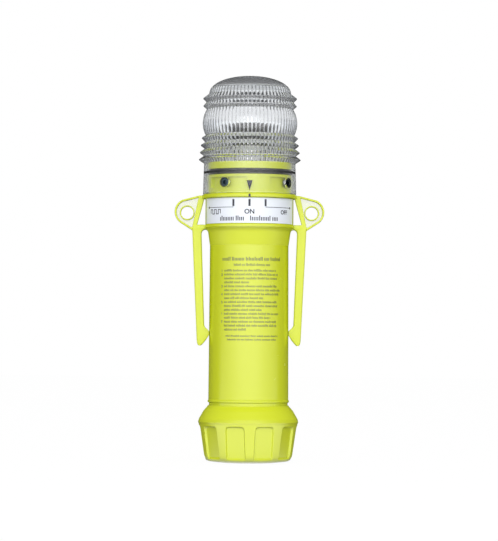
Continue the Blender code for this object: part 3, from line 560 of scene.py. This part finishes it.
# The belt clips: a long sprung arm under each wing, moulded with the body, whose hook closes on the tube.
# Each arm is drawn as one bar, from its root under the wing down to its hook.
yellow_clip, _ = moulded("yellow_clip", YELLOW, 0.36)
CLIP_INNER = [(61.9, 25.7), (62.2, 25.1), (62.9, 24.4), (67.5, 20.6), (68.0, 20.3), (69.0, 20.3), (69.8, 20.7),
              (71.6, 23.1), (72.2, 23.5), (73.0, 23.75), (121.5, 25.45), (122.5, 25.2), (123.0, 24.85),
              (123.35, 24.35), (124.2, 22.9)]
CLIP_OUTER = [(61.9, 26.3), (62.1, 26.75), (62.6, 27.15), (63.4, 27.4), (64.8, 27.6), (122.8, 30.3), (124.2, 30.45)]
CLIP_ROWS = [72.9 + 1.2 * n for n in range(43)]
CLIP_HALF, CLIP_CORNER, CORNER_STEPS = 3.5, 0.75, 4
HOOK_SEAT = 21.4


def along(table, z):
    """Straight steps between the given places."""
    for (z0, x0), (z1, x1) in zip(table, table[1:]):
        if z <= z1:
            return x0 + (x1 - x0) * (z - z0) / (z1 - z0)
    return table[-1][1]


def bar(name, side):
    """The arm, built up from rounded cross-sections from its foot to its root; its hook is hollowed to the tube."""
    form = bmesh.new()
    heights = sorted({z for z, _ in CLIP_INNER + CLIP_OUTER} | set(CLIP_ROWS))
    rows = []
    for z in heights:
        low, high = along(CLIP_INNER, z), along(CLIP_OUTER, z)
        corner = min(CLIP_CORNER, 0.45 * (high - low))
        spots = ((high - corner, CLIP_HALF - corner, 0), (low + corner, CLIP_HALF - corner, 90),
                 (low + corner, corner - CLIP_HALF, 180), (high - corner, corner - CLIP_HALF, 270))
        row = []
        for x, y, start in spots:
            for k in range(CORNER_STEPS + 1):
                a = math.radians(start + 90.0 / CORNER_STEPS * k)
                spot_y = y + corner * math.sin(a)
                spot_x = max(x + corner * math.cos(a), math.sqrt(HOOK_SEAT ** 2 - spot_y ** 2))
                row.append(form.verts.new((side * spot_x * MM, spot_y * MM, z * MM)))
        rows.append(row)
    return lofted(name, form, rows)


for side, hand in ((-1, "left"), (1, "right")):
    clip = stood("clip_arm_" + hand, bar("clip_arm_" + hand, side), yellow_clip, None, "yellow_clip")
    smooth(clip.data, 40.0)
    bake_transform(clip)
    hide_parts("belt_clip_" + hand)


# The dial label: a strip of white printed film stuck round the front of the band, under the lens's pointer.
# Three ticks mark the switch places, and each outer tick has a leader to the end of its side.
LABEL_RADIUS, LABEL_HALF, LABEL_STEPS = 23.8, 73.0, 96
LABEL_LOW, LABEL_HIGH, FILM_DEPTH = 126.4, 139.7, 0.3
film_white, _ = moulded("label_film", (0.80, 0.84, 0.91), 0.30, flow=0.01, grain=0.12, bump=0.01)
film = curved_block("label_film", LABEL_RADIUS - FILM_DEPTH, LABEL_RADIUS, 0.0, LABEL_HALF,
                    LABEL_LOW, LABEL_HIGH, LABEL_STEPS)
label = stood("label_film", film, film_white, "shell", "label_film", "dial_label")
smooth(label.data)
ink_dark, _ = moulded("printing_ink", (0.050, 0.050, 0.062), 0.50, flow=0.10, bump=0.0, specular=0.25)


def disc_mark(u, z, radius, count=14):
    """A round dot of ink."""
    return [(u + radius * math.cos(2 * math.pi * n / count), z + radius * math.sin(2 * math.pi * n / count))
            for n in range(count)]


BAR_CUT = 1.5


def bar_mark(u, z, width, height):
    """A bar of ink, centred on its place, cut into short lengths so that it follows the curve."""
    cuts = max(1, math.ceil(width / BAR_CUT))
    edge = [u - width / 2 + width * n / cuts for n in range(cuts + 1)]
    return [[(a, z - height / 2), (b, z - height / 2), (b, z + height / 2), (a, z + height / 2)]
            for a, b in zip(edge, edge[1:])]


def inked(name, marks, surface, body, ink, lift=0.035, sink=0.02):
    """Flat marks (arc length, height) laid on a round surface as a thin film of ink."""
    form = bmesh.new()
    for mark in marks:
        layers = []
        for rise in (lift, -sink):
            layer = []
            for u, z in mark:
                radius = surface(z)
                layer.append(form.verts.new(wrapped(math.degrees(u / radius), radius + rise, z)))
            layers.append(layer)
        top, foot = layers
        form.faces.new(top)
        form.faces.new(foot[::-1])
        for k in range(len(mark)):
            form.faces.new((top[k - 1], foot[k - 1], foot[k], top[k]))
    return stood(name, closed_mesh(name, form), ink, body, "label_film")


def lettered(text, size, u, z, weight):
    """The marks of a generic word, in the plain built-in letters, centred on its place."""
    curve = bpy.data.curves.new(text, "FONT")
    curve.body = text
    curve.size = size
    curve.align_x = "CENTER"
    curve.offset = weight
    former = bpy.data.objects.new(text, curve)
    scene.collection.objects.link(former)
    mesh = evaluated_mesh(former)
    marks = [[(u + mesh.vertices[v].co.x, z + mesh.vertices[v].co.y) for v in face.vertices]
             for face in mesh.polygons]
    bpy.data.objects.remove(former)
    bpy.data.curves.remove(curve)
    bpy.data.meshes.remove(mesh)
    return marks


draw = random.Random(7)
STROKE_RISES = (1.0, 1.0, 1.0, 1.35)
STROKE_STEP, WORD_GAP = 1.85, 1.4


def stroke_row(left, right, z, height, stroke):
    """Upright strokes in groups of word length between two places, some of them taller."""
    strokes, at = [], left
    while at < right - stroke:
        for _ in range(draw.randint(4, 12)):
            if at > right:
                break
            rise = height * draw.choice(STROKE_RISES)
            strokes += bar_mark(at, z + (rise - height) / 2, stroke, rise)
            at += stroke * STROKE_STEP
        at += stroke * WORD_GAP
    return strokes


DIAL_STEP, LEADER_END = math.radians(20.8) * LABEL_RADIUS, math.radians(63) * LABEL_RADIUS
TICK_LINE, TICK_WIDE, TICK_HIGH = 137.05, 1.1, 3.7
LEADER_LINE, LEADER_WEIGHT, LEADER_DOT = 134.75, 0.30, 0.6
TITLE_LINE, TITLE_HIGH, TITLE_STROKE = 128.6, 1.9, 0.52
WORD_LINE = 131.3
marks = []
for left, right in ((-16.4, -2.3), (0.6, 16.6)):
    marks += stroke_row(left, right, TITLE_LINE, TITLE_HIGH, TITLE_STROKE)
for place in (-1, 0, 1):
    marks += bar_mark(place * DIAL_STEP, TICK_LINE, TICK_WIDE, TICK_HIGH)
for side in (-1, 1):
    marks += bar_mark(side * (DIAL_STEP + LEADER_END) / 2, LEADER_LINE, LEADER_END - DIAL_STEP, LEADER_WEIGHT)
    marks.append(disc_mark(side * LEADER_END, LEADER_LINE, LEADER_DOT))
marks += lettered("ON", 3.4, 0.0, WORD_LINE, 0.09)
marks += lettered("OFF", 3.0, math.radians(50) * LABEL_RADIUS, WORD_LINE, 0.08)
PULSE_WIDE, PULSE_HIGH, PULSE_LINE = 1.5, 2.3, 0.42
PULSE_PLACE = math.radians(49) * LABEL_RADIUS
for n in range(3):
    left = (n - 1.25) * 2.0 * PULSE_WIDE - PULSE_PLACE
    marks += bar_mark(left + PULSE_WIDE / 2, WORD_LINE + PULSE_HIGH, PULSE_WIDE + PULSE_LINE, PULSE_LINE)
    for edge in (0.0, PULSE_WIDE):
        marks += bar_mark(left + edge, WORD_LINE + PULSE_HIGH / 2, PULSE_LINE, PULSE_HIGH - PULSE_LINE)
    if n < 2:
        marks += bar_mark(left + 1.5 * PULSE_WIDE, WORD_LINE, PULSE_WIDE + PULSE_LINE, PULSE_LINE)
inked("dial_print", marks, lambda z: LABEL_RADIUS, "shell", ink_dark)
FLANGE_RADIUS, FLANGE_LINE, FLANGE_TICK = 25.3, 140.85, 1.6
inked("flange_tick", bar_mark(0.0, FLANGE_LINE, TICK_WIDE, FLANGE_TICK), lambda z: FLANGE_RADIUS, "shell", ink_dark)


# The tube's print: a block of faded lines on the front of the tube, set out as a short list of items.
# It is drawn without words, as rows of plain upright strokes, with plain numerals in front of the items.
ink_faded, _ = moulded("faded_ink", (0.070, 0.075, 0.030), 0.30, flow=0.10, bump=0.0)
TUBE_ITEMS = [(1, 15.5), (3, 0.0), (2, 18.2), (2, 7.6), (3, 6.7), (2, 12.1), (3, -1.2)]
ITEM_LEFT, ITEM_RIGHT = -13.9, (15.8, 17.6)
ITEM_TOP, ITEM_PITCH = 101.4, 2.07
ITEM_HIGH, ITEM_STROKE = 0.92, 0.27
NUMBER_PLACE, NUMBER_SIZE, NUMBER_DROP = -15.6, 1.8, 0.6
TUBE_FOOT, TUBE_HEAD = (33.3, 21.25), (115.1, 20.86)


def tube_radius(z):
    """The tube's outer radius, which narrows towards the head."""
    narrowing = (TUBE_FOOT[1] - TUBE_HEAD[1]) / (TUBE_HEAD[0] - TUBE_FOOT[0])
    return TUBE_FOOT[1] - narrowing * (z - TUBE_FOOT[0])


marks = stroke_row(-15.1, 19.0, 107.4, 1.5, 0.42) + stroke_row(-8.1, 11.6, 104.4, 1.0, 0.27)
line = ITEM_TOP
for number, (rows, last) in enumerate(TUBE_ITEMS, 1):
    marks += lettered(str(number), NUMBER_SIZE, NUMBER_PLACE, line - NUMBER_DROP, 0.06)
    for row in range(rows):
        end = draw.uniform(*ITEM_RIGHT) if row < rows - 1 else last
        marks += stroke_row(ITEM_LEFT, end, line, ITEM_HIGH, ITEM_STROKE)
        line -= ITEM_PITCH
for row in range(2):
    marks += stroke_row(-12.8 + row, 16.9 - row, 67.0 - 1.9 * row, 0.75, 0.24)
inked("tube_print", marks, tube_radius, "shell", ink_faded, 0.03)


# The O-rings: two black rubber cords that keep the water out, one in the neck's upper groove against the
# lens's bore, where it shows as a dark band through the skirt, and one on the tube's foot inside the cap.
rubber_black, _ = moulded("black_rubber", (0.010, 0.010, 0.011), 0.42, flow=0.15, grain=0.20, bump=0.05,
                          specular=0.4)
CORD_SIDES, RING_STEPS = 32, 120


def o_ring(name, node, radius, cord, height, bore):
    """A rubber ring of round section, pressed flat where it meets the bore."""
    turn = [2 * math.pi * n / CORD_SIDES for n in range(CORD_SIDES)]
    section = [(min(bore, radius + cord / 2 * math.cos(a)), height + cord / 2 * math.sin(a)) for a in turn]
    ring = stood(name, turned(name, section, RING_STEPS), rubber_black, "shell", "black_rubber", node)
    smooth(ring.data)


o_ring("neck_seal", "neck_o_ring", 21.2, 2.75, 153.8, 22.42)
o_ring("cap_seal", "cap_o_ring", 20.25, 1.5, 27.2, 21.0)


# The lens: one clear moulding that turns on the neck, with six rings outside, a bulged barrel and a domed top.
# The inside is fluted up to the dome, and four holes in the skirt take the retaining screws.
FLUTES, FLUTE_STEPS = 66, 10
CROWN_RADIUS, CROWN_FOOT, CROWN_RISE, CROWN_STEPS = 21.75, 196.3, 9.2, 18
BARREL_RADIUS, BARREL_TOP, BARREL_HIGH, BARREL_STEPS = 23.15, 187.5, 13.4, 12
BARREL_SPREAD, BARREL_BULGE = 0.5, 1.75
DOME_RADIUS, DOME_FOOT, DOME_RISE, DOME_STEPS = 18.2, 198.7, 3.0, 12
LENS_BORE = 22.4


def fin(tip, height, root_up, root_down):
    """A ring's blunt edge, from the root above it to the root below it."""
    return [root_up, (tip - 0.30, height + 0.42), (tip - 0.06, height + 0.20), (tip, height),
            (tip - 0.06, height - 0.20), (tip - 0.30, height - 0.40), root_down]


lens_outer = [(0.0, CROWN_FOOT + CROWN_RISE)]
for n in range(1, CROWN_STEPS + 1):
    a = math.pi / 2 * (1 - n / CROWN_STEPS)
    lens_outer.append((CROWN_RADIUS * math.cos(a) ** 0.94, CROWN_FOOT + CROWN_RISE * math.sin(a)))
lens_outer += fin(24.95, 193.4, (21.9, 195.9), (23.35, 191.75))
lens_outer += fin(24.85, 189.5, (23.35, 191.3), (23.15, 187.9))
for n in range(BARREL_STEPS + 1):
    t = n / BARREL_STEPS
    bulge = BARREL_BULGE * math.sin(math.pi * t) ** 0.8
    lens_outer.append((BARREL_RADIUS + BARREL_SPREAD * t + bulge, BARREL_TOP - BARREL_HIGH * t))
lens_outer += fin(25.61, 172.29, (23.7, 173.75), (23.9, 170.3))
lens_outer += fin(26.09, 168.46, (23.95, 170.0), (24.2, 166.8))
lens_outer += fin(26.57, 164.63, (24.25, 166.5), (24.6, 163.0))
lens_outer += fin(27.05, 160.8, (24.65, 162.7), (24.4, 158.9))
lens_outer += [(24.35, 158.5), (24.36, 158.0), (24.6, 150.0), (24.78, 143.2), (24.8, 142.8), (24.7, 142.45),
               (24.4, 142.3)]
lens_inner = [(22.6, 142.3)] + [(LENS_BORE, height) for height in (142.5, 143.0, 150.0, 159.0, 159.6)]
flute_depth = {}
for height, depth, radius in ((159.75, 0.0, 22.2), (159.8, 1.0, 20.6), (160.1, 1.0, 20.3), (168.0, 1.0, 20.25),
                              (176.0, 1.0, 20.2), (184.0, 1.0, 20.15), (190.0, 1.0, 20.05), (194.0, 1.0, 19.8),
                              (196.8, 1.0, 19.3), (198.0, 0.8, 18.9), (198.5, 0.3, 18.6), (198.7, 0.0, 18.2)):
    flute_depth[(radius, height)] = depth
    lens_inner.append((radius, height))
for n in range(1, DOME_STEPS):
    a = math.pi / 2 * n / DOME_STEPS
    lens_inner.append((DOME_RADIUS * math.cos(a), DOME_FOOT + DOME_RISE * math.sin(a)))
lens_inner.append((0.0, DOME_FOOT + DOME_RISE))
FLUTE_REACH, FLUTE_FLAT, FLUTE_ROUND = 0.62, 0.2, 0.92


def fluted(angle, radius, height):
    """Ribs that stand into the barrel, with a groove between each two."""
    depth = flute_depth.get((radius, height), 0.0)
    across = 2.0 * ((angle * FLUTES / (2 * math.pi) + 0.5) % 1.0) - 1.0
    curve = max(0.0, (abs(across) - FLUTE_FLAT) / (1.0 - FLUTE_FLAT))
    return radius + depth * FLUTE_REACH * (1.0 - math.sqrt(max(0.0, 1.0 - FLUTE_ROUND * curve * curve)))


def distance(tree, scale, shift):
    """How far a point of a piece lies from the axis or from a centre, after it is scaled and shifted."""
    where = tree.nodes.new("ShaderNodeTexCoord")
    placed, length = tree.nodes.new("ShaderNodeVectorMath"), tree.nodes.new("ShaderNodeVectorMath")
    placed.operation, length.operation = "MULTIPLY_ADD", "LENGTH"
    tree.links.new(where.outputs["Object"], placed.inputs[0])
    placed.inputs[1].default_value = scale
    placed.inputs[2].default_value = shift
    tree.links.new(placed.outputs[0], length.inputs[0])
    return length.outputs["Value"]


RUBBED_MIDDLE, RUBBED_HALF, BORE_REACH = 151.3, 8.2, 0.1
DOME_REACH, SKIRT_SHARE = 0.06, 0.55


def bore_haze():
    """Haze inside the dome and, less, on the skirt's bore, which rubs on the neck; 0 on the polished faces."""
    group, _, made = effect("bore_haze", {}, {"Haze": "Float"})
    off_axis = distance(group, (1.0, 1.0, 0.0), (0.0, 0.0, 0.0))
    bore = worked(group, "COMPARE", off_axis, LENS_BORE * MM, BORE_REACH * MM)
    rubbed = worked(group, "COMPARE", axis_of(group, "Object", "Z"), RUBBED_MIDDLE * MM, RUBBED_HALF * MM)
    skirt = worked(group, "MULTIPLY", worked(group, "MULTIPLY", bore, rubbed), SKIRT_SHARE)
    wide, tall = 1.0 / (DOME_RADIUS * MM), 1.0 / (DOME_RISE * MM)
    off_dome = distance(group, (wide, wide, tall), (0.0, 0.0, -DOME_FOOT / DOME_RISE))
    dome = worked(group, "COMPARE", off_dome, 1.0, DOME_REACH)
    fed(group, made["Haze"], worked(group, "MAXIMUM", skirt, dome))
    return group


LENS_POLISH, LENS_HAZE = 0.015, 0.32
clear_lens, tree, output = new_material("clear_lens")
hazed = tree.nodes.new("ShaderNodeGroup")
hazed.node_tree = bore_haze()
shader = tree.nodes.new("ShaderNodeBsdfPrincipled")
shader.inputs["Base Color"].default_value = (0.975, 0.985, 0.995, 1.0)
tree.links.new(ranged(tree, hazed.outputs["Haze"], new=(LENS_POLISH, LENS_HAZE)), shader.inputs["Roughness"])
shader.inputs["IOR"].default_value = 1.52
shader.inputs["Transmission Weight"].default_value = 0.985
path = tree.nodes.new("ShaderNodeLightPath").outputs
passing = tree.nodes.new("ShaderNodeBsdfTransparent")
passing.inputs["Color"].default_value = (0.99, 0.99, 0.99, 1.0)
lighting = worked(tree, "MAXIMUM", path["Is Shadow Ray"], path["Is Diffuse Ray"])
shown(tree, lighting, shader, passing, output)
smoke = tree.nodes.new("ShaderNodeVolumeAbsorption")
smoke.inputs["Color"].default_value = (0.78, 0.79, 0.81, 1.0)
smoke.inputs["Density"].default_value = 60.0
tree.links.new(smoke.outputs[0], output.inputs["Volume"])
lens = stood("lens_moulding", turned("lens_moulding", lens_outer + lens_inner, FLUTES * FLUTE_STEPS, fluted),
             clear_lens, "lens_turret", "clear_plastic", "lens")


def facing_out(azimuth, height):
    """Stands a turned piece on its side, pointing away from the axis."""
    a = math.radians(azimuth)
    along_x, along_z = (math.cos(a), math.sin(a), 0.0), (math.sin(a), -math.cos(a), 0.0)
    columns = Matrix((along_x, (0.0, 0.0, 1.0), along_z)).transposed()
    return Matrix.Translation((0.0, 0.0, height * MM)) @ columns.to_4x4()


SCREW_HEIGHT = 148.0
DRILL_OUTLINE, DRILL_STEPS = [(0.0, 20.5), (2.7, 20.5), (2.7, 27.0), (0.0, 27.0)], 32
for azimuth in SCREW_AZIMUTHS:
    drill = turned("screw_hole", DRILL_OUTLINE, DRILL_STEPS)
    drill.transform(facing_out(azimuth, SCREW_HEIGHT))
    combined(lens, drill, "DIFFERENCE")
smooth(lens.data, 28.0)
POINTER = [(-1.55, 148.75), (0.0, 143.35), (1.55, 148.75)]
SKIRT_RADIUS, SKIRT_FOOT, SKIRT_LEAN = 24.8, 142.3, 0.028
inked("lens_pointer", [POINTER], lambda z: SKIRT_RADIUS - SKIRT_LEAN * (z - SKIRT_FOOT), "lens_turret", ink_dark)


# The retaining screws: four blackened steel grub screws through the skirt, whose tips run in the neck's slots.
# They hold the lens on and stop its turn; each has a hexagon socket and a chamfered rim.
SOCKET, SOCKET_TOP, SOCKET_FLOOR = 1.25, 23.85, 22.6
SCREW_OUTLINE = [(0.0, 21.2), (1.9, 21.2), (2.4, 21.7), (2.4, 23.6), (2.25, 23.8), (2.05, 23.9), (1.6, 23.88),
                 (SOCKET, SOCKET_TOP), (SOCKET, SOCKET_FLOOR), (0.0, SOCKET_FLOOR)]
SCREW_STEPS = 48


def hexagon(angle, radius, height):
    """The socket's six flats."""
    if radius != SOCKET:
        return radius
    return radius / math.cos((angle + math.pi / 6) % (math.pi / 3) - math.pi / 6)


dark_steel, tree, output = new_material("blackened_steel")
shader = tree.nodes.new("ShaderNodeBsdfPrincipled")
shader.inputs["Metallic"].default_value = 1.0
shader.inputs["Roughness"].default_value = 0.32
steel_tones = [(0.0, (0.035, 0.060, 0.075)), (1.0, (0.10, 0.14, 0.16))]
tree.links.new(toned(tree, clouds(tree, 900.0), steel_tones), shader.inputs["Base Color"])
tree.links.new(shader.outputs[0], output.inputs["Surface"])
for n, azimuth in enumerate(SCREW_AZIMUTHS, 1):
    mesh = turned(f"grub_screw_{n}", SCREW_OUTLINE, SCREW_STEPS, hexagon)
    mesh.transform(facing_out(azimuth, SCREW_HEIGHT))
    screw = stood(f"grub_screw_{n}", mesh, dark_steel, "lens_turret", "dark_steel", f"retaining_screw_{n}")
    smooth(screw.data, 30.0)


# The battery cap: a deep cup in the same yellow, screwed on the tube's foot, with ten flat grip pockets.
# Its shoulder rounds in to the tube, and its foot is barely domed, with a flat middle that it stands on.
yellow_cap, _ = moulded("yellow_cap", YELLOW, 0.30)
POCKETS, POCKET_FIRST = 10, 20.0
POCKET_HALF, POCKET_TOP, POCKET_CORNER, POCKET_EDGE = 5.1, 19.3, 1.9, 0.26
POCKET_LOW, POCKET_RUN_OUT = 1.6, 1.4
POCKET_FLOOR, POCKET_FLOOR_HEIGHT = 21.98, 3.0
GRIP_INSIDE, GRIP_SIDE, GRIP_TOP = 21.9, 22.0, 20.6
GRIP_LEAN = math.tan(math.radians(8.58))
CAP_OUTLINE = [
    (0.0, 0.0, 0.0), (14.0, 0.0, 5.0), (23.42, 1.0, 4.4), (26.2, 20.4, 1.6), (26.62, 21.5, 0.9),
    (26.25, 23.1, 2.4), (23.75, 27.5, 3.6), (21.6, 29.9, 0.4), (21.5, 30.3, 0.1), (21.3, 30.3, 0.1),
    (21.3, 3.5, 0.8), (0.0, 3.5, 0.0),
]


def closer(outline, heights):
    """The outline with more points at the given heights, where the grip's side passes them."""
    points = []
    for (x0, z0), (x1, z1) in zip(outline, outline[1:] + outline[:1]):
        points.append((x0, z0))
        if min(x0, x1) > GRIP_SIDE and abs(z1 - z0) > 0.2:
            between = sorted((z for z in heights if min(z0, z1) < z < max(z0, z1)), reverse=z1 < z0)
            points += [(x0 + (x1 - x0) * (z - z0) / (z1 - z0), z) for z in between]
    return points


def pocketed(angle, radius, height):
    """Sinks the pockets into the grip, with rounded top corners and a soft edge."""
    if radius < GRIP_INSIDE or height > GRIP_TOP:
        return radius
    pitch = 2 * math.pi / POCKETS
    away = (angle - math.radians(POCKET_FIRST) + pitch / 2) % pitch - pitch / 2
    over_x = abs(radius * math.sin(away)) - (POCKET_HALF - POCKET_CORNER)
    over_z = height - (POCKET_TOP - POCKET_CORNER)
    outside = math.hypot(max(over_x, 0.0), max(over_z, 0.0)) + min(max(over_x, over_z), 0.0) - POCKET_CORNER
    share = min(1.0, max(0.0, (POCKET_EDGE - outside) / (2.0 * POCKET_EDGE)),
                max(0.0, (height - POCKET_LOW) / POCKET_RUN_OUT))
    floor_radius = (POCKET_FLOOR + (height - POCKET_FLOOR_HEIGHT) * GRIP_LEAN) / math.cos(away)
    return radius - share * share * (3.0 - 2.0 * share) * max(0.0, radius - floor_radius)


# Points stand close where a pocket's sides and top run, and wider apart on its floor and on the ribs.
grip_heights = [0.6 + 0.9 * n for n in range(18)] + [16.6 + 0.28 * n for n in range(14)]
cap_angles = []
for n in range(POCKETS):
    centre = POCKET_FIRST + 360.0 / POCKETS * n
    for edge in (-12.0, 12.0):
        cap_angles += [centre + edge + 0.3 * k for k in range(-6, 7)]
    cap_angles += [centre - 9.0 + 2.25 * k for k in range(9)] + [centre + 15.0 + 2.0 * k for k in range(6)]
cap_angles = [math.radians(a) for a in sorted({round(a % 360.0, 4) for a in cap_angles})]
cap = stood("cap_moulding", turned("cap_moulding", closer(rounded(CAP_OUTLINE), grip_heights), cap_angles, pocketed),
            yellow_cap, "cap", "yellow_cap", "battery_cap")
smooth(cap.data, 40.0)


# The inside: two wrapped cells in line, a tail spring and brass contacts, and the light module over them.
# The boards, the post and its six lamps are seen, broken up, through the lens; the rest is covered.
DRIFT_RANGE, GLOSS_RANGE = (0.35, 0.65), (0.8, 1.2)


def drift_tone():
    """A colour that drifts between two tones, with a gloss that drifts with it."""
    group, given, made = effect("drift_tone",
                                {"Dark": "Color", "Light": "Color", "Gloss": "Float", "Scale": "Float"},
                                {"Colour": "Color", "Roughness": "Float"})
    cloud = clouds(group, given["Scale"], 4.0)
    share = ranged(group, cloud, DRIFT_RANGE)
    fed(group, made["Colour"], mixed(group, "MIX", given["Dark"], given["Light"], share))
    spread = ranged(group, cloud, new=GLOSS_RANGE)
    fed(group, made["Roughness"], worked(group, "MULTIPLY", spread, given["Gloss"]))
    return group


DRIFT = drift_tone()


def speckled(name, dark, light, roughness, scale, metallic=0.0):
    """A finish whose colour drifts between two tones, with an uneven gloss."""
    material, tree, output = new_material(name)
    drift = tree.nodes.new("ShaderNodeGroup")
    drift.node_tree = DRIFT
    drift.inputs["Dark"].default_value = (*dark, 1.0)
    drift.inputs["Light"].default_value = (*light, 1.0)
    drift.inputs["Gloss"].default_value = roughness
    drift.inputs["Scale"].default_value = scale
    shader = tree.nodes.new("ShaderNodeBsdfPrincipled")
    shader.inputs["Metallic"].default_value = metallic
    tree.links.new(drift.outputs["Colour"], shader.inputs["Base Color"])
    tree.links.new(drift.outputs["Roughness"], shader.inputs["Roughness"])
    tree.links.new(shader.outputs[0], output.inputs["Surface"])
    return material


INSIDE = {
    speckled("cell_wrap", (0.09, 0.11, 0.15), (0.12, 0.14, 0.19), 0.35, 60.0):
        ["battery_cell_lower", "battery_cell_upper"],
    speckled("spring_brass", (0.62, 0.44, 0.15), (0.75, 0.57, 0.24), 0.28, 300.0, 1.0):
        ["contact_plate", "return_strip", "positive_contact"],
    speckled("plated_steel", (0.52, 0.52, 0.51), (0.68, 0.68, 0.66), 0.22, 400.0, 1.0):
        ["tail_spring", "selector_magnet", "capacitor", "board_spacer_1", "board_spacer_2", "board_spacer_3"],
    speckled("blackened_screws", (0.12, 0.12, 0.13), (0.20, 0.20, 0.21), 0.35, 500.0, 1.0):
        ["module_screw_1", "module_screw_2", "module_screw_3"],
    speckled("black_moulding", (0.020, 0.020, 0.022), (0.034, 0.034, 0.036), 0.45, 250.0):
        ["contact_carrier", "driver_chip", "inductor", "reed_switch_1", "reed_switch_2", "post_cap"],
    speckled("pale_plastic", (0.50, 0.51, 0.51), (0.60, 0.61, 0.61), 0.40, 250.0): ["led_holder"],
    speckled("solder_mask", (0.022, 0.13, 0.055), (0.035, 0.18, 0.08), 0.30, 200.0): ["driver_board"],
    speckled("white_board", (0.70, 0.71, 0.70), (0.80, 0.81, 0.80), 0.35, 200.0): ["led_board"],
    speckled("cast_resin", (0.82, 0.80, 0.64), (0.88, 0.86, 0.76), 0.15, 500.0): [f"led_{n}" for n in range(1, 7)],
}
for finish, nodes in INSIDE.items():
    for node in nodes:
        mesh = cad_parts[node].data
        mesh.materials.clear()
        mesh.materials.append(finish)
